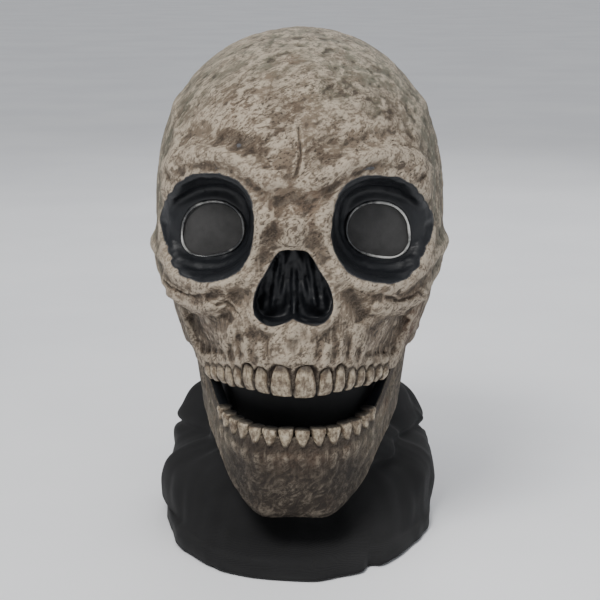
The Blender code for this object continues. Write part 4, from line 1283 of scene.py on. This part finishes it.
def build_teeth(name, row, edge_z, shape, seed, paint):
    """A row of separate teeth on both sides of the middle, as one piece."""
    rng = np.random.default_rng(seed)
    count = TOOTH_RINGS * TOOTH_ROUND
    quads = tube_quads(np.arange(count).reshape(TOOTH_RINGS, TOOTH_ROUND)).reshape(-1, 4)
    points, faces, gums, sides, blacks = [], [], [], [], []
    for side in (1, -1):
        for place, out, width, height in row:
            rings, share = tooth_points(width, height, shape, rng)
            outward = np.array([side * out.x, out.y, 0.0])
            along = np.array([-outward[1], outward[0], 0.0])
            root = np.array([side * place.x, place.y, edge_z(place) + shape["up"] * height])
            root = root + outward * (shape["front"] - shape["thick"] / 2)
            axes = (along, outward, np.array([0, 0, 1.0]))
            world = root
            for k, axis in enumerate(axes):
                world = world + rings[..., k : k + 1] * axis
            faces.append(quads + len(points) * count)
            points.append(world.reshape(-1, 3))
            share = share.ravel()
            gums.append(1 - share)
            beside = (np.abs(rings[..., 0]) / (0.5 * width)).ravel() ** 2
            sides.append(beside * ease(0.0, 0.5, share))
            inward = ease(0.1, 0.6, -rings[..., 1] / (0.5 * shape["thick"])).ravel()
            blacks.append(np.maximum(inward, shape["dark"] * ease(0.955, 1.0, share)))
    teeth = mesh_from(name, np.concatenate(points), np.concatenate(faces))
    mesh = teeth.data
    face_out(mesh)
    places = points_of(mesh)
    dents = 0.16 * fractal_noise(places * np.array([1, 1, 0.35]), 2.6, seed + 5, 3)
    dents = dents + 0.10 * fractal_noise(places, 5, seed, 2)
    push(mesh, places, dents)
    found = {"gum": gums, "side": sides, "black": blacks}
    set_shares(mesh, {key: np.concatenate(values) for key, values in found.items()})
    give(teeth, paint)
    return teeth


def build_both_rows(paint):
    _, line = lower_plan(200)

    def lower_edge_z(place):
        return float(np.interp(place.y, line[:, 1], line[:, 2])) + LOWER_EDGE_Z - JAW_TOP[0][3]

    upper = build_teeth("upper_teeth", upper_row(), upper_edge_z, UPPER_SHAPE, 41, paint)
    lower_row = tooth_row(lower_plan(500)[1][:, :2], LOWER_TEETH, LOWER_GAP)
    lower = build_teeth("lower_teeth", lower_row, lower_edge_z, LOWER_SHAPE, 43, paint)
    for teeth, body in ((upper, "skull"), (lower, "jaw")):
        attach(teeth, body)


# ---------------------------------------------------------------- skirt
# (front y, front z, half-width, side z, back y, back z, how far its shoulders swell)
SKIRT_RINGS = (
    (-102.0, 135.0, 53.0, 120.0, 70.6, 106.0, 0.0), (-100.2, 127.0, 52.0, 115.0, 68.2, 100.0, 0.0),
    (-80.5, 108.0, 50.5, 105.0, 65.6, 93.0, 0.0), (-68.0, 87.0, 49.5, 90.0, 65.6, 85.0, 5.0),
    (-55.0, 68.0, 50.0, 75.0, 70.5, 73.0, 28.0), (-44.0, 50.0, 52.0, 60.0, 75.5, 60.0, 35.0),
    (-41.0, 32.0, 66.0, 48.0, 83.5, 47.0, 27.0), (-44.0, 18.0, 80.0, 36.0, 93.5, 34.0, 12.0),
    (-58.0, 9.0, 84.0, 23.0, 103.0, 20.0, 4.0), (-84.0, 4.6, 84.5, 10.0, 110.0, 8.0, 0.0),
    (-115.0, 1.4, 86.0, 1.4, 115.0, 1.4, 0.0),
)
SKIRT_AXIS_Y = 18.0
CLOTH_THICKNESS = 0.9
SKIRT_SPARE = 2.5  # how far the cloth may pass its solid's sides
NOTCH_TURN, NOTCH_DEPTH = 33, 7.0  # a nick in the hem, in degrees from the front


def skirt_points(around, down):
    """Places on the cloth: around in radians from the front, down 0 at its glued edge and 1 at the hem."""
    steps = np.linspace(0, 1, len(SKIRT_RINGS))
    ahead_y, ahead_z, half, side_z, behind_y, behind_z, shoulder = (
        between(list(zip(steps, values)), down, level_ends=False) for values in zip(*SKIRT_RINGS)
    )
    cos, sin = np.cos(around), np.sin(around)
    ahead = cos > 0
    power = np.where(ahead, 2 / 2.0, 2 / 2.4)
    side = np.sign(sin) * np.abs(sin) ** power
    along = np.abs(cos) ** power
    far_y, far_z = np.where(ahead, ahead_y, behind_y), np.where(ahead, ahead_z, behind_z)
    weight = sin**2
    x = half * side + np.where(ahead, 0.0, -shoulder * np.sin(2 * around))
    y = SKIRT_AXIS_Y + (far_y - SKIRT_AXIS_Y) * along
    return np.stack([x, y, side_z * weight + far_z * (1 - weight)], axis=-1)


def build_skirt(paint):
    """Black cloth glued inside the rim, gathered at the neck and spread on the ground in soft folds."""
    columns, rows = ((360, 130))
    around = np.linspace(0, math.tau, columns, endpoint=False)[:, None]
    down = np.linspace(0, 1, rows)[None, :]
    around, down = np.broadcast_arrays(around, down)
    points = skirt_points(around, down)
    flat = np.stack([45 * np.cos(around), 45 * np.sin(around), 60 * down], axis=-1).reshape(-1, 3)
    sway = fractal_noise(flat, 34, 5, 3).reshape(down.shape)
    ripple = fractal_noise(flat * np.array([1.0, 1.0, 0.35]), 17, 9, 3).reshape(down.shape)
    free = ease(0.26, 0.50, down)
    above_hem = ease(1.0, 0.90, down)
    loose = free * (1 - 0.75 * ease(0.2, 0.7, np.cos(around)) * ease(0.80, 0.62, down))
    folds = loose * (4.2 * sway + 2.6 * ripple) * (0.35 + 0.65 * above_hem)
    folds += 2.4 * loose * above_hem * np.sin(7 * around + 2.4 * sway + 5 * down)
    tuck = bell((down - 0.60 - 0.05 * sway) / 0.030)
    folds -= 6.0 * (tuck * ease(0.45, 0.85, np.abs(np.sin(around))))
    outward = points - np.array([0.0, SKIRT_AXIS_Y, 0.0])
    outward[..., 2] = 0
    outward /= np.linalg.norm(outward, axis=-1, keepdims=True)
    hem = ease(0.80, 1.0, down)
    points = points + outward * folds[..., None]
    points += outward * (hem * (1.8 * sway + 1.0 * np.sin(11 * around + 3 * ripple) - 1.5))[..., None]
    roll = ease(0.90, 0.97, down) * ease(1.0, 0.985, down)
    points[..., 2] += free * above_hem * 2.4 * ripple + 2.2 * roll * (1 + sway)
    notch = bell((np.degrees(around) - NOTCH_TURN) / 3.2) * hem
    points -= outward * (NOTCH_DEPTH * notch)[..., None]
    for axis in (0, 1):
        low, high = SKIRT_LOW[axis] - SKIRT_SPARE, SKIRT_HIGH[axis] + SKIRT_SPARE
        points[..., axis] = np.clip(points[..., axis], low, high)
    points[..., 2] = np.maximum(points[..., 2], CLOTH_THICKNESS + 0.4)
    skirt = mesh_from("skirt", points.reshape(-1, 3), column_quads(columns, rows))
    face_out(skirt.data, close=False)
    modify(skirt, "SOLIDIFY", thickness=CLOTH_THICKNESS * MM, offset=-1)
    skirt.data.shade_smooth()
    give(skirt, paint)
    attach(skirt, "skull")
    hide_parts("neck_skirt")
    return skirt


# ---------------------------------------------------------------- eyes
GAUZE_LAP = 4.5
GAUZE_RINGS = 14
GAUZE_ROUND = 72
GAUZE_THICKNESS = 0.5
BEAD = 0.75
BEAD_ROUND = 8


def eye_outline(turn, grow):
    """Across and up of the see-through hole's edge in the socket's own axes, grown by this much."""
    cos, sin = np.cos(turn), np.sin(turn)
    shape = (np.abs(cos) ** EYE_POWER + np.abs(sin) ** EYE_POWER) ** (-1 / EYE_POWER)
    uneven = 1 - EYE_WAVE * np.sin(3 * turn + EYE_WAVE_TURN) / EYE_HOLE[1]
    across = (EYE_HOLE[0] + grow) * shape * cos * uneven
    bent = (EYE_HOLE[1] + grow) * shape * sin * uneven
    return across, bent - EYE_DROP - EYE_LEAN * across


def from_socket(across, deep, up, side):
    """World places of places in a socket's own axes."""
    x = SOCKET_MIDDLE.x + across * TOE_COS - deep * TOE_SIN
    y = SOCKET_MIDDLE.y + across * TOE_SIN + deep * TOE_COS
    return np.stack([side * x, y, SOCKET_MIDDLE.z + up], axis=-1)


def gauze_disc(name, side):
    turn = np.linspace(0, math.tau, GAUZE_ROUND, endpoint=False)[:, None]
    rings = np.linspace(0.04, 1, GAUZE_RINGS)[None, :]
    across, up = eye_outline(turn, GAUZE_LAP)
    up = up * rings - EYE_DROP * (1 - rings)
    deep = SOCKET_DEPTH + 1.6 - 2.4 * (1 - rings**2) + 0.12 * np.sin(5 * turn + 3 * side) * rings
    places = from_socket(across * rings, deep, up, side).reshape(-1, 3)
    disc = mesh_from(name, places, column_quads(GAUZE_ROUND, GAUZE_RINGS))
    face_out(disc.data)
    modify(disc, "SOLIDIFY", thickness=GAUZE_THICKNESS * MM, offset=0)
    disc.data.shade_smooth()
    return disc


def glue_bead(name, side):
    """An uneven tube along the edge of the see-through hole."""
    around = np.linspace(0, math.tau, 2 * GAUZE_ROUND, endpoint=False)
    across, up = eye_outline(around, -0.2)
    wobble = 0.30 * np.sin(9 * around + side) + 0.25 * np.sin(4 * around + 2 * side)
    middle = from_socket(across, SOCKET_DEPTH - 0.9 + 0.3 * wobble, up, side)
    reach = (BEAD * (1 + 0.35 * wobble))[:, None]
    outward = middle - middle.mean(axis=0)
    outward /= np.linalg.norm(outward, axis=1, keepdims=True)
    back = np.array([0, 1.0, 0])
    turns = [math.tau * part / BEAD_ROUND for part in range(BEAD_ROUND)]
    lines = [middle + reach * (math.cos(t) * outward + math.sin(t) * back) for t in turns]
    tube = np.stack(lines, axis=1)
    grid = np.arange(tube.shape[0] * BEAD_ROUND).reshape(-1, BEAD_ROUND)
    faces = tube_quads(np.concatenate([grid, grid[:1]]))[..., [0, 3, 2, 1]].reshape(-1, 4)
    bead = mesh_from(name, tube.reshape(-1, 3), faces)
    face_out(bead.data)
    return bead


def build_eyes(gauze, glue):
    """Dark gauze stretched behind each hole, and the uneven line of glue that holds it."""
    for name, side in (("left", 1), ("right", -1)):
        disc, bead = gauze_disc(f"{name}_gauze", side), glue_bead(f"{name}_glue_line", side)
        give(disc, gauze)
        give(bead, glue)
        for piece, node, slot in ((disc, "eye_mesh", "eye_gauze"), (bead, "eye_glue_bead", "glue")):
            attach(piece, "skull")
            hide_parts(f"{name}_{node}")


# ---------------------------------------------------------------- lining and small pieces
PADS = ("forehead_pad", "crown_pad", "left_side_pad", "right_side_pad", "chin_pad")
PAD_CELL = 1.6
STRAPS = ("head_strap", "left_strap_tab", "right_strap_tab")
RIB_PITCH = 1.7


def copy_of(node, ending):
    """A copy of a CAD node's solid as a piece of its own."""
    piece = frame["nodes"][node].copy()
    piece.data = piece.data.copy()
    piece.name = piece.data.name = node + ending
    for key in list(piece.keys()):
        del piece[key]
    piece.parent = None
    piece.hide_render = piece.hide_viewport = False
    bpy.context.scene.collection.objects.link(piece)
    return piece


def build_pads(paint):
    """Foam pads with soft rounded edges, from the places of their solids."""
    for node in PADS:
        pad = copy_of(node, "_foam")
        modify(pad, "REMESH", mode="VOXEL", voxel_size=PAD_CELL * MM)
        mesh = pad.data
        points = relax(mesh, points_of(mesh), 7, keep=0.3)
        set_points(mesh, points)
        lumps = 0.35 * fractal_noise(points, 9, 61, 3)
        push(mesh, points, lumps + 0.25)
        mesh.shade_smooth()
        give(pad, paint)
        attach(pad, "jaw" if node == "chin_pad" else "skull")
        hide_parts(node)


def build_straps(webbing, tape):
    """Flat webbing and cloth tabs, ribbed across, from the places of their solids."""
    for node in STRAPS:
        strap = copy_of(node, "_web")
        modify(strap, "SUBSURF", subdivision_type="SIMPLE", levels=4, render_levels=4)
        mesh = strap.data
        points = points_of(mesh)
        turn = np.arctan2(points[:, 0], points[:, 1] - AXIS_Y)
        around = turn * math.hypot(*points[0, :2])
        ribs = 0.10 * np.sin(math.tau * around / RIB_PITCH)
        ribs = ribs + 0.06 * np.sin(math.tau * points[:, 2] / RIB_PITCH)
        push(mesh, points, ribs - 0.08)
        mesh.shade_smooth()
        give(strap, webbing if node == "head_strap" else tape)
        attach(strap, "skull")
        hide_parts(node)


def finish_nodes():
    """Materials of the CAD nodes that stay as they are."""
    steel = hard_paint("blackened steel", srgb(34, 33, 32), srgb(84, 76, 66), 0.42, metallic=0.9)
    rubber = hard_paint("grey rubber", srgb(48, 48, 50), srgb(66, 66, 66), 0.75)
    nylon = hard_paint("black nylon", srgb(20, 20, 22), srgb(38, 38, 40), 0.5)
    endings = {"hinge_pin": steel, "hinge_washer": rubber, "hinge_cap": nylon}
    for side in ("left", "right"):
        for ending, material in endings.items():
            give(frame["nodes"][f"{side}_{ending}"], material)


# ---------------------------------------------------------------- camera, light and floor
CAMERA_TARGET = Vector((0.0002, 0.0, 0.142))
CAMERA_DISTANCE = 1.0
CAMERA_ELEVATION = math.radians(12)
CAMERA_TURN = math.radians(2)
CAMERA_LENS = 96.0
# (name, place, size, power, colour)
AREA_LIGHTS = (
    ("key", (-0.50, -1.1, 1.45), 0.6, 24, (1.0, 0.985, 0.96)),
    ("fill", (1.3, -0.8, 0.7), 1.2, 5, (0.95, 0.97, 1.0)),
    ("back", (0.3, 1.3, 1.2), 1.0, 9, (1.0, 1.0, 1.0)),
)
SKY_AIM = Vector((0.1, 0.45, -1.0))
FLOOR_REACH = 60.0
FLOOR_Z = -0.0004


def aim(made, direction):
    made.rotation_euler = direction.to_track_quat("-Z", "Y").to_euler()


def place_camera():
    data = bpy.data.cameras.new("camera")
    data.lens = CAMERA_LENS
    data.sensor_width = 36.0
    camera = add_object("camera", data)
    flat = math.cos(CAMERA_ELEVATION) * CAMERA_DISTANCE
    rise = math.sin(CAMERA_ELEVATION) * CAMERA_DISTANCE
    offset = Vector((flat * math.sin(CAMERA_TURN), -flat * math.cos(CAMERA_TURN), rise))
    camera.location = CAMERA_TARGET + offset
    aim(camera, -offset)
    bpy.context.scene.camera = camera


def light_studio():
    world = bpy.data.worlds.new("studio")
    world.use_nodes = True
    background = world.node_tree.nodes["Background"]
    background.inputs["Color"].default_value = (0.80, 0.82, 0.86, 1.0)
    background.inputs["Strength"].default_value = 0.42
    bpy.context.scene.world = world
    for name, place, size, power, tint in AREA_LIGHTS:
        data = bpy.data.lights.new(name, "AREA")
        data.size, data.energy, data.color = size, power, tint
        light = add_object(name, data)
        light.location = place
        aim(light, CAMERA_TARGET - Vector(place))
    data = bpy.data.lights.new("sky", "SUN")
    data.energy, data.angle = 0.9, math.radians(50)
    aim(add_object("sky", data), SKY_AIM)


def lay_floor():
    builder = bmesh.new()
    bmesh.ops.create_grid(builder, x_segments=2, y_segments=2, size=FLOOR_REACH)
    mesh = bpy.data.meshes.new("floor")
    builder.to_mesh(mesh)
    builder.free()
    floor = add_object("floor", mesh)
    floor.location.z = FLOOR_Z
    paint = Paint("pale floor")
    mottle = paint.over(paint.noise(3, 3), 0.3, 0.7)
    give(floor, paint.finish(paint.mix(mottle, srgb(238, 239, 242), srgb(246, 247, 249)), 0.5))


def main():
    bone = bone_paint()
    build_skull(bone)
    build_jaw(bone)
    build_both_rows(tooth_paint())
    skirt = build_skirt(cloth_paint())
    build_eyes(
        # the gauze's second colour is the painted highlight on its threads
        woven("eye gauze", srgb(30, 30, 31), srgb(84, 83, 82), 700.0, 0.0004, 0.7),
        # the glue's pale second colour is a painted glint
        hard_paint("clear glue", srgb(46, 47, 49), srgb(186, 186, 182), 0.22, scale=38),
    )
    build_pads(foam_paint())
    build_straps(
        # the second colour of each weave is the painted highlight on its threads
        woven("strap webbing", srgb(16, 16, 17), srgb(46, 46, 49), 380.0, 0.0005, 0.8),
        woven("tab tape", srgb(18, 18, 19), srgb(50, 50, 53), 520.0, 0.0004, 0.85),
    )
    finish_nodes()
    place_camera()
    light_studio()
    lay_floor()


main()
